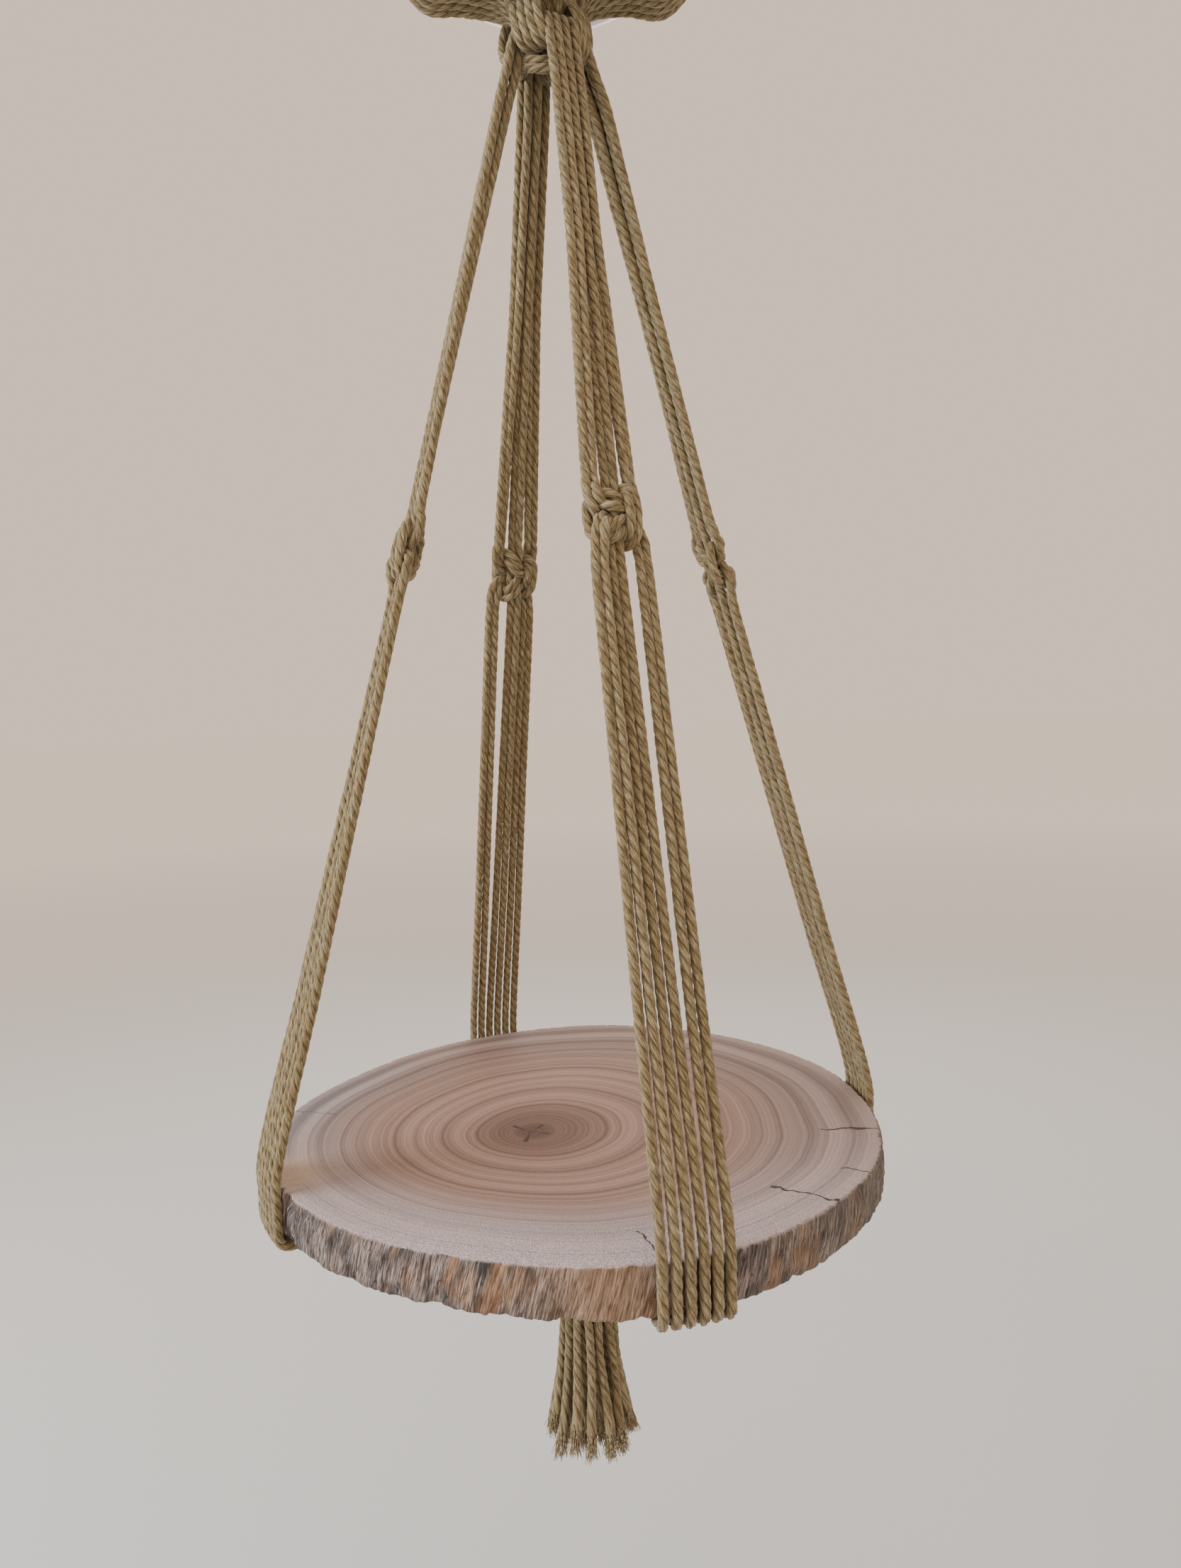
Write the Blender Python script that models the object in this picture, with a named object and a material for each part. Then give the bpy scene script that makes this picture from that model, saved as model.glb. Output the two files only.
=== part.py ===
"""Macrame hanging shelf: a wood slice and a shallow bowl held in four bundles of knotted cord.

Units are metres, +Z is up, and the origin is the point inside the top loop where a hook bears.
Azimuths are in degrees, from the front (-Y) towards +X.
"""
import math

import bmesh
import bpy
from mathutils import Vector

# Three-ply cord, six to a leg and in three pairs
CORD = 0.0043
CORD_RADIUS = CORD / 2
CORD_SIDES = 5
CORDS_IN_LEG = 6
CORD_SPACING = 0.0048
GAP = 0.0003
MERGE = 0.000006

# Heights: the bowl's underside, the slice's top below it, and the tassel's end below that
BOWL_UNDERSIDE = -0.332
SLICE_TOP = BOWL_UNDERSIDE - 0.551
SLICE_THICKNESS = 0.022
TASSEL_END = SLICE_TOP - 0.185

# Wood slice: mean radius, saw-cut edge, bark's bulge, and the waves of its outline
SLICE_RADIUS = 0.150
SLICE_SEGMENTS = 56
SAW_EDGE = 0.003
BARK_BULGE = 0.001
OUTLINE_WAVES = (
    # lobes, height as a share of the radius, azimuth of a peak
    (1, 0.0096, -38.9),
    (2, 0.0087, -86.2),
    (3, 0.0148, 38.3),
    (4, 0.0076, 12.2),
    (7, 0.0037, 12.2),
)

# Shallow bowl in the upper cradle, which stands a little forward of the middle
BOWL_MIDDLE = Vector((0.003, -0.012, 0.0))
BOWL_FOOT_RADIUS = 0.046
BOWL_RIM_RADIUS = 0.106
BOWL_HEIGHT = 0.050
BOWL_WALL = 0.004
BOWL_LIP = 0.003
BOWL_FLARE = 1.20
BOWL_INSET = 0.0022
BOWL_SEGMENTS = 32
BOWL_RINGS = 4
CRADLE_CLEARANCE = 0.0011

# Gathering knots, under the bowl and under the slice
GATHER_RADIUS = 0.0215
CENTRE_WAIST = 0.0150
BOTTOM_WAIST = 0.0190
GATHER_HEIGHT = 0.0385
CENTRE_DROP = 0.0290
BOTTOM_DROP = 0.0210
GATHER_SEGMENTS = 36
GATHER_RINGS = 6
GATHER_RIDGE = 0.0008
LOBE_HALF_ANGLE = 14.0
BROW_START = 0.35
BROW_END = 0.60
CENTRE_KNOT = (BOWL_UNDERSIDE - CENTRE_DROP, CENTRE_WAIST)
BOTTOM_KNOT = (SLICE_TOP - SLICE_THICKNESS - BOTTOM_DROP, BOTTOM_WAIST)

# Square knot halfway down each leg
KNOT_WIDTH = 0.0250
KNOT_LENGTH = 0.0240
KNOT_CORE_DEPTH = 0.0090
KNOT_SEGMENTS = 18
KNOT_RINGS = 8
KNOT_BUMPS = (
    # across, across spread, down, down spread, height; across and down run from -1 to 1
    (0.58, 0.24, 0.02, 0.78, 0.0036),
    (-0.20, 0.40, -0.40, 0.24, 0.0034),
    (-0.05, 0.34, 0.46, 0.24, 0.0032),
    (-0.78, 0.22, -0.70, 0.45, 0.0026),
    (-0.66, 0.24, 0.72, 0.42, 0.0028),
)

# Where each leg stands at the slice and at the gathering knot, its knot's height over the slice,
# and the bundle over it in the cradle
LEGS = (
    # name, azimuth, top azimuth, knot height, cradle azimuth
    ("front", 15.5, 24.0, 0.290, 12.0),
    ("right", 98.5, 107.0, 0.279, 92.0),
    ("back", 201.4, 200.5, 0.284, 194.0),
    ("left", -65.0, -78.0, 0.284, -80.0),
)

# A leg from the gathering knot down to the slice
LEG_START_RADIUS = 0.0195
LEG_START_HEIGHT = 0.498
OVER_KNOT = (
    # height over the slice and radius, where a leg's cords hang over the gathering knot
    (0.5245, 0.0100),
    (0.5232, 0.0165),
    (0.5165, 0.0206),
    (0.5075, 0.0207),
)
PAIR_TURN_TOP = 40.0
PAIR_PITCH_TOP = 0.0058
PAIR_PITCH_KNOT = 0.0085
PAIR_TURN_KNOT = 48.0
KNOT_REACH = 0.028
BAND_SPACING = 0.00535
FLAT_BAND_HEIGHT = 0.120
CORNER_RADIUS = 0.005
CORNER_STEPS = 2
CENTRE_FAN_RISE = 0.0178
FAN_STEP = 13.2
FAN_PATH = (
    # radius, drop, of a cord that fans in to a gathering knot
    (0.0245, 0.0),
    (0.0200, 0.0028),
    (0.0135, 0.0120),
)

# Top wrap and loop
LOOP_BUNDLE_RADIUS = 0.0075
LOOP_SIDES = 12
LOOP_SIDE = (
    # height, half width of the loop's middle line
    (-0.0560, 0.0080),
    (-0.0450, 0.0088),
    (-0.0330, 0.0128),
    (-0.0200, 0.0166),
    (-0.0080, 0.0168),
    (0.0015, 0.0132),
    (0.0062, 0.0070),
)
WRAP_RADIUS = 0.0190
WRAP_TURNS = 6
WRAP_TOP = -0.046
WRAP_BOTTOM = WRAP_TOP - WRAP_TURNS * CORD
WRAP_SEGMENTS = 14
WRAP_RIDGE = 0.0009

# Cradle's bundles from the wrap to the bowl
SLING_TURN = 12.0
SLING_START_RADIUS = 0.0106
SLING_ROOT = 0.012
SLING_DROP = 0.006
SLING_MIDDLE_RADIUS = 0.0600
CRADLE_SHARES = (0.96, 0.77, 0.58)
CRADLE_BEND_RADIUS = 0.0570
CRADLE_BEND_DROP = 0.0070
CRADLE_INNER_RADIUS = 0.0400
CRADLE_INNER_DROP = 0.0078
SLOPE_STEP = 0.001

# Tassel: rings of cord ends, and how far they flare
TASSEL_RINGS = (
    # cords, radius at the knot, radius at the ends
    (2, 0.0026, 0.0050),
    (8, 0.0076, 0.0130),
    (14, 0.0124, 0.0215),
)
TASSEL_SIDES = 4
TASSEL_FRAY = 1.45
TASSEL_UNEVEN = 0.012
TASSEL_ROOT = 0.006
TASSEL_FLARE_START = 0.45
TASSEL_FLARE_POWER = 1.5


def clear_scene():
    for old in list(bpy.data.objects):
        bpy.data.objects.remove(old, do_unlink=True)


def finish(name, colour, roughness):
    """A Principled material in one plain colour."""
    material = bpy.data.materials.new(name)
    material.use_nodes = True
    shader = material.node_tree.nodes["Principled BSDF"]
    shader.inputs["Base Color"].default_value = (*colour, 1.0)
    shader.inputs["Roughness"].default_value = roughness
    shader.inputs["Metallic"].default_value = 0.0
    material.diffuse_color = (*colour, 1.0)
    return material


def outward(azimuth):
    angle = math.radians(azimuth)
    return Vector((math.sin(angle), -math.cos(angle), 0.0))


def sideways(azimuth):
    angle = math.radians(azimuth)
    return Vector((math.cos(angle), math.sin(angle), 0.0))


def at(azimuth, radius, height, side=0.0):
    """The point at a radius and height on an azimuth, moved sideways from it."""
    return outward(azimuth) * radius + sideways(azimuth) * side + Vector((0.0, 0.0, height))


def slice_radius(azimuth):
    """The slice's outline, which is not quite round."""
    share = 1.0
    for lobes, height, peak in OUTLINE_WAVES:
        share += height * math.cos(lobes * math.radians(azimuth - peak))
    return SLICE_RADIUS * share


def bowl_height(radius):
    """Height of the bowl's outer face over its underside."""
    climb = max(0.0, radius - BOWL_FOOT_RADIUS) / (BOWL_RIM_RADIUS - BOWL_FOOT_RADIUS)
    return BOWL_HEIGHT * climb ** BOWL_FLARE


def on_bowl(azimuth, radius, height, side=0.0):
    """A point placed from the middle of the bowl."""
    return at(azimuth, radius, height, side) + BOWL_MIDDLE


def to_object(name, mesh_data, material):
    """A linked object from a bmesh, its faces turned outwards."""
    bmesh.ops.recalc_face_normals(mesh_data, faces=mesh_data.faces)
    mesh = bpy.data.meshes.new(name)
    mesh_data.to_mesh(mesh)
    mesh_data.free()
    mesh.materials.append(material)
    mesh.shade_smooth()
    mesh.set_sharp_from_angle(angle=math.radians(40))
    made = bpy.data.objects.new(name, mesh)
    bpy.context.scene.collection.objects.link(made)
    return made


def skin_rings(mesh_data, rings):
    """Join rings of points of equal length into a closed skin with flat ends."""
    rows = [[mesh_data.verts.new(point) for point in ring] for ring in rings]
    count = len(rows[0])
    for upper, lower in zip(rows, rows[1:]):
        for index in range(count):
            after = (index + 1) % count
            mesh_data.faces.new((upper[index], upper[after], lower[after], lower[index]))
    mesh_data.faces.new(list(reversed(rows[0])))
    mesh_data.faces.new(rows[-1])


def tube(mesh_data, points, radii, sides):
    """A tube of flat-sided section along a list of points."""
    rings = []
    normal = None
    for index, point in enumerate(points):
        before = points[max(0, index - 1)]
        after = points[min(len(points) - 1, index + 1)]
        along = (after - before).normalized()
        if normal is None:
            normal = along.cross(Vector((0.0, 0.0, 1.0)))
            if normal.length < 0.1:
                normal = along.cross(Vector((0.0, 1.0, 0.0)))
        normal = (normal - along * normal.dot(along)).normalized()
        other = along.cross(normal)
        ring = []
        for step in range(sides):
            angle = 2 * math.pi * (step + 0.5) / sides
            ring.append(point + (normal * math.cos(angle) + other * math.sin(angle)) * radii[index])
        rings.append(ring)
    skin_rings(mesh_data, rings)


def cord_object(name, points, material):
    mesh_data = bmesh.new()
    tube(mesh_data, points, [CORD_RADIUS] * len(points), CORD_SIDES)
    return to_object(name, mesh_data, material)


def cord_place(index, pair_pitch, turn):
    """Sideways and outward place of one of the six cords, in pairs that lie at a turn."""
    pair = index // 2 - 1
    member = 2 * (index % 2) - 1
    angle = math.radians(turn)
    side = pair * pair_pitch + member * CORD_SPACING / 2 * math.sin(angle)
    depth = member * CORD_SPACING / 2 * math.cos(angle)
    return side, depth


def band_place(index):
    """Sideways place of one of the six cords, where they lie flat side by side."""
    return (index - (CORDS_IN_LEG - 1) / 2) * BAND_SPACING


def fan_points(index, azimuth, height):
    """The end of a cord's path, where a bundle's cords fan in to a gathering knot."""
    fan = azimuth + (index - (CORDS_IN_LEG - 1) / 2) * FAN_STEP
    return [at(fan, radius, height - drop) for radius, drop in FAN_PATH]


def evaluated_copy(source, name):
    """A plain object with the source's mesh as its modifiers leave it, its slivers merged."""
    graph = bpy.context.evaluated_depsgraph_get()
    mesh = bpy.data.meshes.new_from_object(source.evaluated_get(graph))
    clean = bmesh.new()
    clean.from_mesh(mesh)
    bmesh.ops.remove_doubles(clean, verts=clean.verts, dist=MERGE)
    clean.to_mesh(mesh)
    clean.free()
    made = bpy.data.objects.new(name, mesh)
    bpy.context.scene.collection.objects.link(made)
    return made


def combined(name, base, others, operation):
    """The base joined with the others, or cut by them; the sources are removed."""
    group = bpy.data.collections.new(name + "_tools")
    bpy.context.scene.collection.children.link(group)
    for other in others:
        bpy.context.scene.collection.objects.unlink(other)
        group.objects.link(other)
    change = base.modifiers.new(operation, "BOOLEAN")
    change.operation = operation
    change.operand_type = "COLLECTION"
    change.collection = group
    change.solver = "EXACT"
    made = evaluated_copy(base, name)
    for old in [base] + others:
        bpy.data.objects.remove(old, do_unlink=True)
    bpy.data.collections.remove(group)
    return made


def lobe_share(azimuth):
    """One on a bundle that bulges between two legs, nought where a leg passes."""
    share = 0.0
    for index, leg in enumerate(LEGS):
        here = leg[2]
        after = LEGS[(index + 1) % len(LEGS)][2]
        middle = here + ((after - here) % 360.0) / 2
        away = (azimuth - middle + 180.0) % 360.0 - 180.0
        share = max(share, math.exp(-((away / LOBE_HALF_ANGLE) ** 4)))
    return share


def gather_shape(mesh_data, height, growth, waist):
    """The lump of a gathering knot: full at its top, with bundles that bulge out of its waist."""
    rings = []
    for row in range(GATHER_RINGS + 1):
        lift = math.cos(math.pi * (0.06 + 0.88 * row / GATHER_RINGS))
        girth = (1.0 - lift ** 4) ** 0.5
        brow = min(1.0, max(0.0, (lift - BROW_START) / (BROW_END - BROW_START)))
        ring = []
        for step in range(GATHER_SEGMENTS):
            angle = 360.0 * step / GATHER_SEGMENTS
            full = max(brow, lobe_share(angle))
            ridge = GATHER_RIDGE * (step % 2) * full
            radius = (waist + (GATHER_RADIUS - GATHER_RIDGE - waist) * full + ridge) * girth
            ring.append(at(angle, radius + growth, height + lift * (GATHER_HEIGHT / 2 + growth)))
        rings.append(ring)
    skin_rings(mesh_data, rings)


def gather_object(name, knot, growth, material):
    height, waist = knot
    mesh_data = bmesh.new()
    gather_shape(mesh_data, height, growth, waist)
    bmesh.ops.triangulate(mesh_data, faces=mesh_data.faces, quad_method="FIXED")
    return to_object(name, mesh_data, material)


def bell(value, middle, spread):
    return math.exp(-(((value - middle) / spread) ** 2))


def square_knot(name, centre, side_way, out_way, along, material):
    """The square knot's lump: two bars of doubled cord over the fillers, and a standing loop."""
    rings = []
    for row in range(KNOT_RINGS + 1):
        down = -1.0 + 2.0 * row / KNOT_RINGS
        width = KNOT_WIDTH / 2 * (1.0 - 0.16 * down ** 4)
        core = KNOT_CORE_DEPTH / 2 * (1.0 - 0.22 * down ** 4)
        ring = []
        for step in range(KNOT_SEGMENTS):
            angle = 2 * math.pi * (step + 0.5) / KNOT_SEGMENTS
            across = math.copysign(abs(math.cos(angle)) ** 0.8, math.cos(angle))
            proud = math.copysign(abs(math.sin(angle)) ** 0.6, math.sin(angle))
            relief = 0.0
            for place, spread, level, drop, height in KNOT_BUMPS:
                relief = max(relief, height * bell(across * math.copysign(1.0, proud), place, spread)
                             * bell(down, level, drop))
            depth = proud * (core + relief)
            ring.append(centre + along * (down * KNOT_LENGTH / 2) + side_way * (width * across)
                        + out_way * depth)
        rings.append(ring)
    mesh_data = bmesh.new()
    skin_rings(mesh_data, rings)
    return to_object(name, mesh_data, material)


def leg_frame(azimuth, top_azimuth, height, band_radius):
    """Middle, sideways and outward directions of a leg at a height over the slice."""
    top = at(top_azimuth, LEG_START_RADIUS, SLICE_TOP + LEG_START_HEIGHT)
    foot = at(azimuth, band_radius, SLICE_TOP)
    share = min(1.0, height / LEG_START_HEIGHT)
    middle = foot.lerp(top, share)
    facing = azimuth + (top_azimuth - azimuth) * share
    along = (foot - top).normalized()
    side_way = sideways(facing)
    side_way = (side_way - along * side_way.dot(along)).normalized()
    return middle, side_way, side_way.cross(along).normalized(), along


def leg_cord_points(index, azimuth, top_azimuth, knot_height):
    """One cord of a leg: from the gathering knot, round the slice's edge, to the knot under it."""
    edge_azimuth = azimuth + math.degrees(band_place(index) / SLICE_RADIUS)
    band_radius = slice_radius(edge_azimuth) + BARK_BULGE + GAP + CORD_RADIUS
    points = []
    side, depth = cord_place(index, PAIR_PITCH_TOP, PAIR_TURN_TOP)
    for height, radius in OVER_KNOT:
        points.append(at(top_azimuth, radius + depth, SLICE_TOP + height, side))
    hanging = (
        # height over the slice, pair pitch, turn of the pairs
        (LEG_START_HEIGHT, PAIR_PITCH_TOP, PAIR_TURN_TOP),
        (LEG_START_HEIGHT - 0.100, PAIR_PITCH_TOP + 0.0006, PAIR_TURN_TOP + 4.0),
        (knot_height + KNOT_REACH, PAIR_PITCH_KNOT, PAIR_TURN_KNOT),
        (knot_height, PAIR_PITCH_KNOT - 0.0014, PAIR_TURN_KNOT),
        (knot_height - KNOT_REACH, PAIR_PITCH_KNOT + 0.0004, PAIR_TURN_KNOT + 7.0),
        (FLAT_BAND_HEIGHT, 2 * BAND_SPACING - 0.0004, 78.0),
    )
    for height, pair_pitch, turn in hanging:
        side, depth = cord_place(index, pair_pitch, turn)
        middle, side_way, out_way, _ = leg_frame(azimuth, top_azimuth, height, band_radius)
        points.append(middle + side_way * side + out_way * depth)
    under = SLICE_TOP - SLICE_THICKNESS - 2 * GAP - CORD_RADIUS
    points.append(at(edge_azimuth, band_radius, SLICE_TOP))
    for step in range(CORNER_STEPS + 1):
        angle = 0.5 * math.pi * step / CORNER_STEPS
        radius = band_radius - CORNER_RADIUS * (1.0 - math.cos(angle))
        points.append(at(edge_azimuth, radius, under + CORNER_RADIUS * (1.0 - math.sin(angle))))
    return points + fan_points(index, azimuth, under)


def make_leg(name, azimuth, top_azimuth, knot_height, material):
    """Six cords, apart but for the square knot that holds them."""
    cords = []
    for index in range(CORDS_IN_LEG):
        points = leg_cord_points(index, azimuth, top_azimuth, knot_height)
        cords.append(cord_object(f"{name}_cord_{index}", points, material))
    band_radius = slice_radius(azimuth) + BARK_BULGE + GAP + CORD_RADIUS
    centre, side_way, out_way, along = leg_frame(azimuth, top_azimuth, knot_height, band_radius)
    lump = square_knot(name + "_lump", centre, side_way, out_way, along, material)
    joined = combined(name + "_joined", lump, cords, "UNION")
    cutters = [
        gather_object(name + "_cut_top", CENTRE_KNOT, GAP, material),
        gather_object(name + "_cut_bottom", BOTTOM_KNOT, GAP, material),
    ]
    return combined(name, joined, cutters, "DIFFERENCE")


def sling_cord_points(index, quarter, azimuth):
    """One cord of the cradle: from the top wrap, down the bowl's side, to the gathering knot."""
    top_azimuth = 90.0 * quarter + SLING_TURN
    side, depth = cord_place(index, CORD_SPACING, 0.0)
    points = [
        at(top_azimuth, SLING_START_RADIUS + depth, WRAP_BOTTOM + SLING_ROOT, side),
        at(top_azimuth, SLING_START_RADIUS + depth, WRAP_BOTTOM - SLING_DROP, side),
    ]
    offset = CRADLE_CLEARANCE + CORD_RADIUS
    rim_height = BOWL_UNDERSIDE + BOWL_HEIGHT
    side, depth = cord_place(index, PAIR_PITCH_KNOT, PAIR_TURN_KNOT)
    points.append(at(azimuth, SLING_MIDDLE_RADIUS + depth, (WRAP_BOTTOM + rim_height) / 2, side))
    side = band_place(index)
    points.append(on_bowl(azimuth, BOWL_RIM_RADIUS + offset, rim_height + BOWL_LIP, side))
    for share in CRADLE_SHARES:
        radius = BOWL_FOOT_RADIUS + (BOWL_RIM_RADIUS - BOWL_FOOT_RADIUS) * share
        slope = math.atan2(bowl_height(radius) - bowl_height(radius - SLOPE_STEP), SLOPE_STEP)
        height = BOWL_UNDERSIDE + bowl_height(radius) - offset * math.cos(slope)
        points.append(on_bowl(azimuth, radius + offset * math.sin(slope), height, side))
    bend = CRADLE_BEND_RADIUS + outward(azimuth).dot(BOWL_MIDDLE)
    points.append(at(azimuth, bend, BOWL_UNDERSIDE - CRADLE_BEND_DROP, side))
    points.append(at(azimuth, CRADLE_INNER_RADIUS, BOWL_UNDERSIDE - CRADLE_INNER_DROP, side))
    return points + fan_points(index, azimuth, CENTRE_KNOT[0] + CENTRE_FAN_RISE)


def make_loop(material):
    """The hanging loop: the bundle of cords bent over, ridged by the cords in it."""
    rise = [Vector((-side, 0.0, height)) for height, side in LOOP_SIDE]
    fall = [Vector((-point.x, 0.0, point.z)) for point in reversed(rise)]
    points = rise + [Vector((0.0, 0.0, LOOP_BUNDLE_RADIUS))] + fall
    rings = []
    for index, point in enumerate(points):
        before = points[max(0, index - 1)]
        after = points[min(len(points) - 1, index + 1)]
        along = (after - before).normalized()
        out_way = along.cross(Vector((0.0, 1.0, 0.0)))
        ring = []
        for turn in range(LOOP_SIDES):
            around = 2 * math.pi * turn / LOOP_SIDES
            radius = LOOP_BUNDLE_RADIUS * (1.0 if turn % 2 else 0.90)
            across = out_way * math.cos(around) + Vector((0.0, 1.0, 0.0)) * math.sin(around)
            ring.append(point + across * radius)
        rings.append(ring)
    mesh_data = bmesh.new()
    skin_rings(mesh_data, rings)
    return to_object("loop_bundle", mesh_data, material)


def make_hanger(material):
    """Loop, wrap and the four bundles of the cradle, joined where the wrap binds them."""
    rings = []
    for row in range(2 * WRAP_TURNS + 1):
        radius = WRAP_RADIUS - WRAP_RIDGE * (1 - row % 2)
        height = WRAP_TOP - CORD / 2 * row
        rings.append([at(360.0 * step / WRAP_SEGMENTS, radius, height) for step in range(WRAP_SEGMENTS)])
    mesh_data = bmesh.new()
    skin_rings(mesh_data, rings)
    wrap = to_object("wrap", mesh_data, material)
    cords = []
    for quarter, (name, _, _, _, azimuth) in enumerate(LEGS):
        for index in range(CORDS_IN_LEG):
            points = sling_cord_points(index, quarter, azimuth)
            cords.append(cord_object(f"sling_{name}_{index}", points, material))
    joined = combined("hanger_joined", wrap, cords + [make_loop(material)], "UNION")
    cutter = gather_object("hanger_cut", CENTRE_KNOT, GAP, material)
    return combined("hanger", joined, [cutter], "DIFFERENCE")


def make_tassel(material):
    """The gathering knot under the slice, with the cord ends that hang from it."""
    cords = []
    for ring_index, (count, start_radius, end_radius) in enumerate(TASSEL_RINGS):
        for index in range(count):
            azimuth = 360.0 * (index + 0.5 * ring_index) / count
            uneven = TASSEL_UNEVEN * (0.5 + 0.5 * math.sin(2.4 * index + 1.7 * ring_index))
            start = BOTTOM_KNOT[0] - TASSEL_ROOT
            end = TASSEL_END + uneven
            points = []
            radii = []
            for share in (0.0, 0.12, 0.55, 0.78, 1.0):
                flare = max(0.0, share - TASSEL_FLARE_START) / (1.0 - TASSEL_FLARE_START)
                radius = start_radius + (end_radius - start_radius) * flare ** TASSEL_FLARE_POWER
                points.append(at(azimuth, radius, start + (end - start) * share))
                radii.append(CORD_RADIUS * (1.0 + (TASSEL_FRAY - 1.0) * flare))
            mesh_data = bmesh.new()
            tube(mesh_data, points, radii, TASSEL_SIDES)
            cords.append(to_object(f"end_{ring_index}_{index}", mesh_data, material))
    knot = gather_object("bottom_knot", BOTTOM_KNOT, 0.0, material)
    return combined("tassel", knot, cords, "UNION")


def make_slice(material):
    """A sawn disc of wood with its bark on."""
    profile = (
        # height over the top, radius past the outline
        (0.0, -SAW_EDGE),
        (-0.0016, -0.0004),
        (-0.008, BARK_BULGE * 0.7),
        (-0.0165, BARK_BULGE),
        (-SLICE_THICKNESS + 0.0005, -0.0024),
        (-SLICE_THICKNESS, -0.0034),
    )
    rings = []
    for height, past in profile:
        ring = []
        for step in range(SLICE_SEGMENTS):
            azimuth = 360.0 * step / SLICE_SEGMENTS
            ring.append(at(azimuth, slice_radius(azimuth) + past, SLICE_TOP + height))
        rings.append(ring)
    mesh_data = bmesh.new()
    skin_rings(mesh_data, rings)
    return to_object("slice", mesh_data, material)


def make_bowl(material):
    """A plain shallow bowl, turned with an even wall."""
    reach = BOWL_RIM_RADIUS - BOWL_FOOT_RADIUS
    outer = [(BOWL_FOOT_RADIUS * 0.5, 0.0)]
    for row in range(BOWL_RINGS + 1):
        radius = BOWL_FOOT_RADIUS + reach * row / BOWL_RINGS
        outer.append((radius, bowl_height(radius)))
    inner = []
    for row in reversed(range(BOWL_RINGS)):
        radius = BOWL_FOOT_RADIUS + reach * row / BOWL_RINGS
        inner.append((radius - BOWL_INSET, bowl_height(radius) + BOWL_WALL))
    lip_height = BOWL_HEIGHT + BOWL_LIP
    rim = [(BOWL_RIM_RADIUS, lip_height), (BOWL_RIM_RADIUS - BOWL_WALL, lip_height)]
    rings = []
    for radius, height in outer + rim + inner:
        ring = [
            on_bowl(360.0 * step / BOWL_SEGMENTS, radius, BOWL_UNDERSIDE + height)
            for step in range(BOWL_SEGMENTS)
        ]
        rings.append(ring)
    mesh_data = bmesh.new()
    skin_rings(mesh_data, rings)
    return to_object("bowl", mesh_data, material)


clear_scene()
cord_finish = finish("cord", (0.42, 0.36, 0.22), 0.9)
wood_finish = finish("wood", (0.42, 0.29, 0.22), 0.75)
bowl_finish = finish("bowl_glaze", (0.86, 0.85, 0.84), 0.35)
make_slice(wood_finish)
make_bowl(bowl_finish)
gather_object("centre_knot", CENTRE_KNOT, 0.0, cord_finish)
for leg_name, leg_azimuth, leg_top_azimuth, leg_knot_height, _ in LEGS:
    make_leg("leg_" + leg_name, leg_azimuth, leg_top_azimuth, leg_knot_height, cord_finish)
make_hanger(cord_finish)
make_tassel(cord_finish)
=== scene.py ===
import math

import bmesh
import bpy
import numpy as np
from mathutils import Matrix, Vector, noise


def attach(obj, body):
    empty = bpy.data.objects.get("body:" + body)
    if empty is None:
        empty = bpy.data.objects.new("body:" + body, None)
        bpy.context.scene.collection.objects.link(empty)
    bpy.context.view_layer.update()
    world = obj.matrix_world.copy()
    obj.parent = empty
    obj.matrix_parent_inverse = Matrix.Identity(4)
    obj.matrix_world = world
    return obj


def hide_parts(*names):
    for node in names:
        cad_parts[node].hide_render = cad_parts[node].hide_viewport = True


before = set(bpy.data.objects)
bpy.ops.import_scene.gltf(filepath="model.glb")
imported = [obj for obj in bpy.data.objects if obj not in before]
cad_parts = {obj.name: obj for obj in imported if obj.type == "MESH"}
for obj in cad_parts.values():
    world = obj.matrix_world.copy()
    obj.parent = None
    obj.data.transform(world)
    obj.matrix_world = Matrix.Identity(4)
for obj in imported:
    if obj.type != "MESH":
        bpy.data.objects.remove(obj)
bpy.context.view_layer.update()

# Camera, floor and light
# The shelf hangs over a plain pale floor in soft daylight from the left. The camera stands 0.53 m in
# front of it and 0.21 m above the slice, and looks down a little, as the photograph's did.
SLICE_TOP = -0.883
FLOOR_HEIGHT = -1.46
FLOOR_RADIUS = 30.0
FLOOR_NEAR = 6.25
# The floor's near and far colours are painted shade and painted light, grading its brightness with distance.
FLOOR_NEAR_PAINTED_SHADE = (0.5, 0.53, 0.56, 1.0)
FLOOR_FAR_PAINTED_LIGHT = (0.99, 0.985, 0.98, 1.0)
CAMERA_BACK = 0.5316
CAMERA_RISE = 0.2118
CAMERA_PITCH = math.radians(4.45)
CAMERA_YAW = math.radians(1.1)
CAMERA_ROLL = math.radians(-1.87)
CAMERA_LENS = 32.22


def put(tree, kind, values=None, **settings):
    """A node in a tree, with its settings, and its inputs given as values or as other outputs."""
    made = tree.nodes.new(kind)
    for name, value in settings.items():
        setattr(made, name, value)
    for place, value in (values or {}).items():
        if isinstance(place, int):
            port = made.inputs[place]
        else:
            port = next(s for s in made.inputs if place in (s.identifier, s.name) and s.enabled)
        if isinstance(value, bpy.types.NodeSocket):
            tree.links.new(value, port)
        else:
            port.default_value = value
    return made


def calc(tree, operation, first, second=0.0, third=0.0):
    """The output of one Math node."""
    return put(tree, "ShaderNodeMath", {0: first, 1: second, 2: third}, operation=operation).outputs[0]


def new_finish(name, values):
    """A material with one Principled shader; returns the material, its tree and the shader."""
    material = bpy.data.materials.new(name)
    material.use_nodes = True
    tree = material.node_tree
    shader = tree.nodes["Principled BSDF"]
    for label, value in values.items():
        shader.inputs[label].default_value = value
    return material, tree, shader


def mixed(tree, factor, first, second, blend="MIX"):
    """Two colours mixed; returns the resulting colour."""
    return put(tree, "ShaderNodeMix", {0: factor, 6: first, 7: second},
               data_type="RGBA", blend_type=blend).outputs[2]


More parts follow.
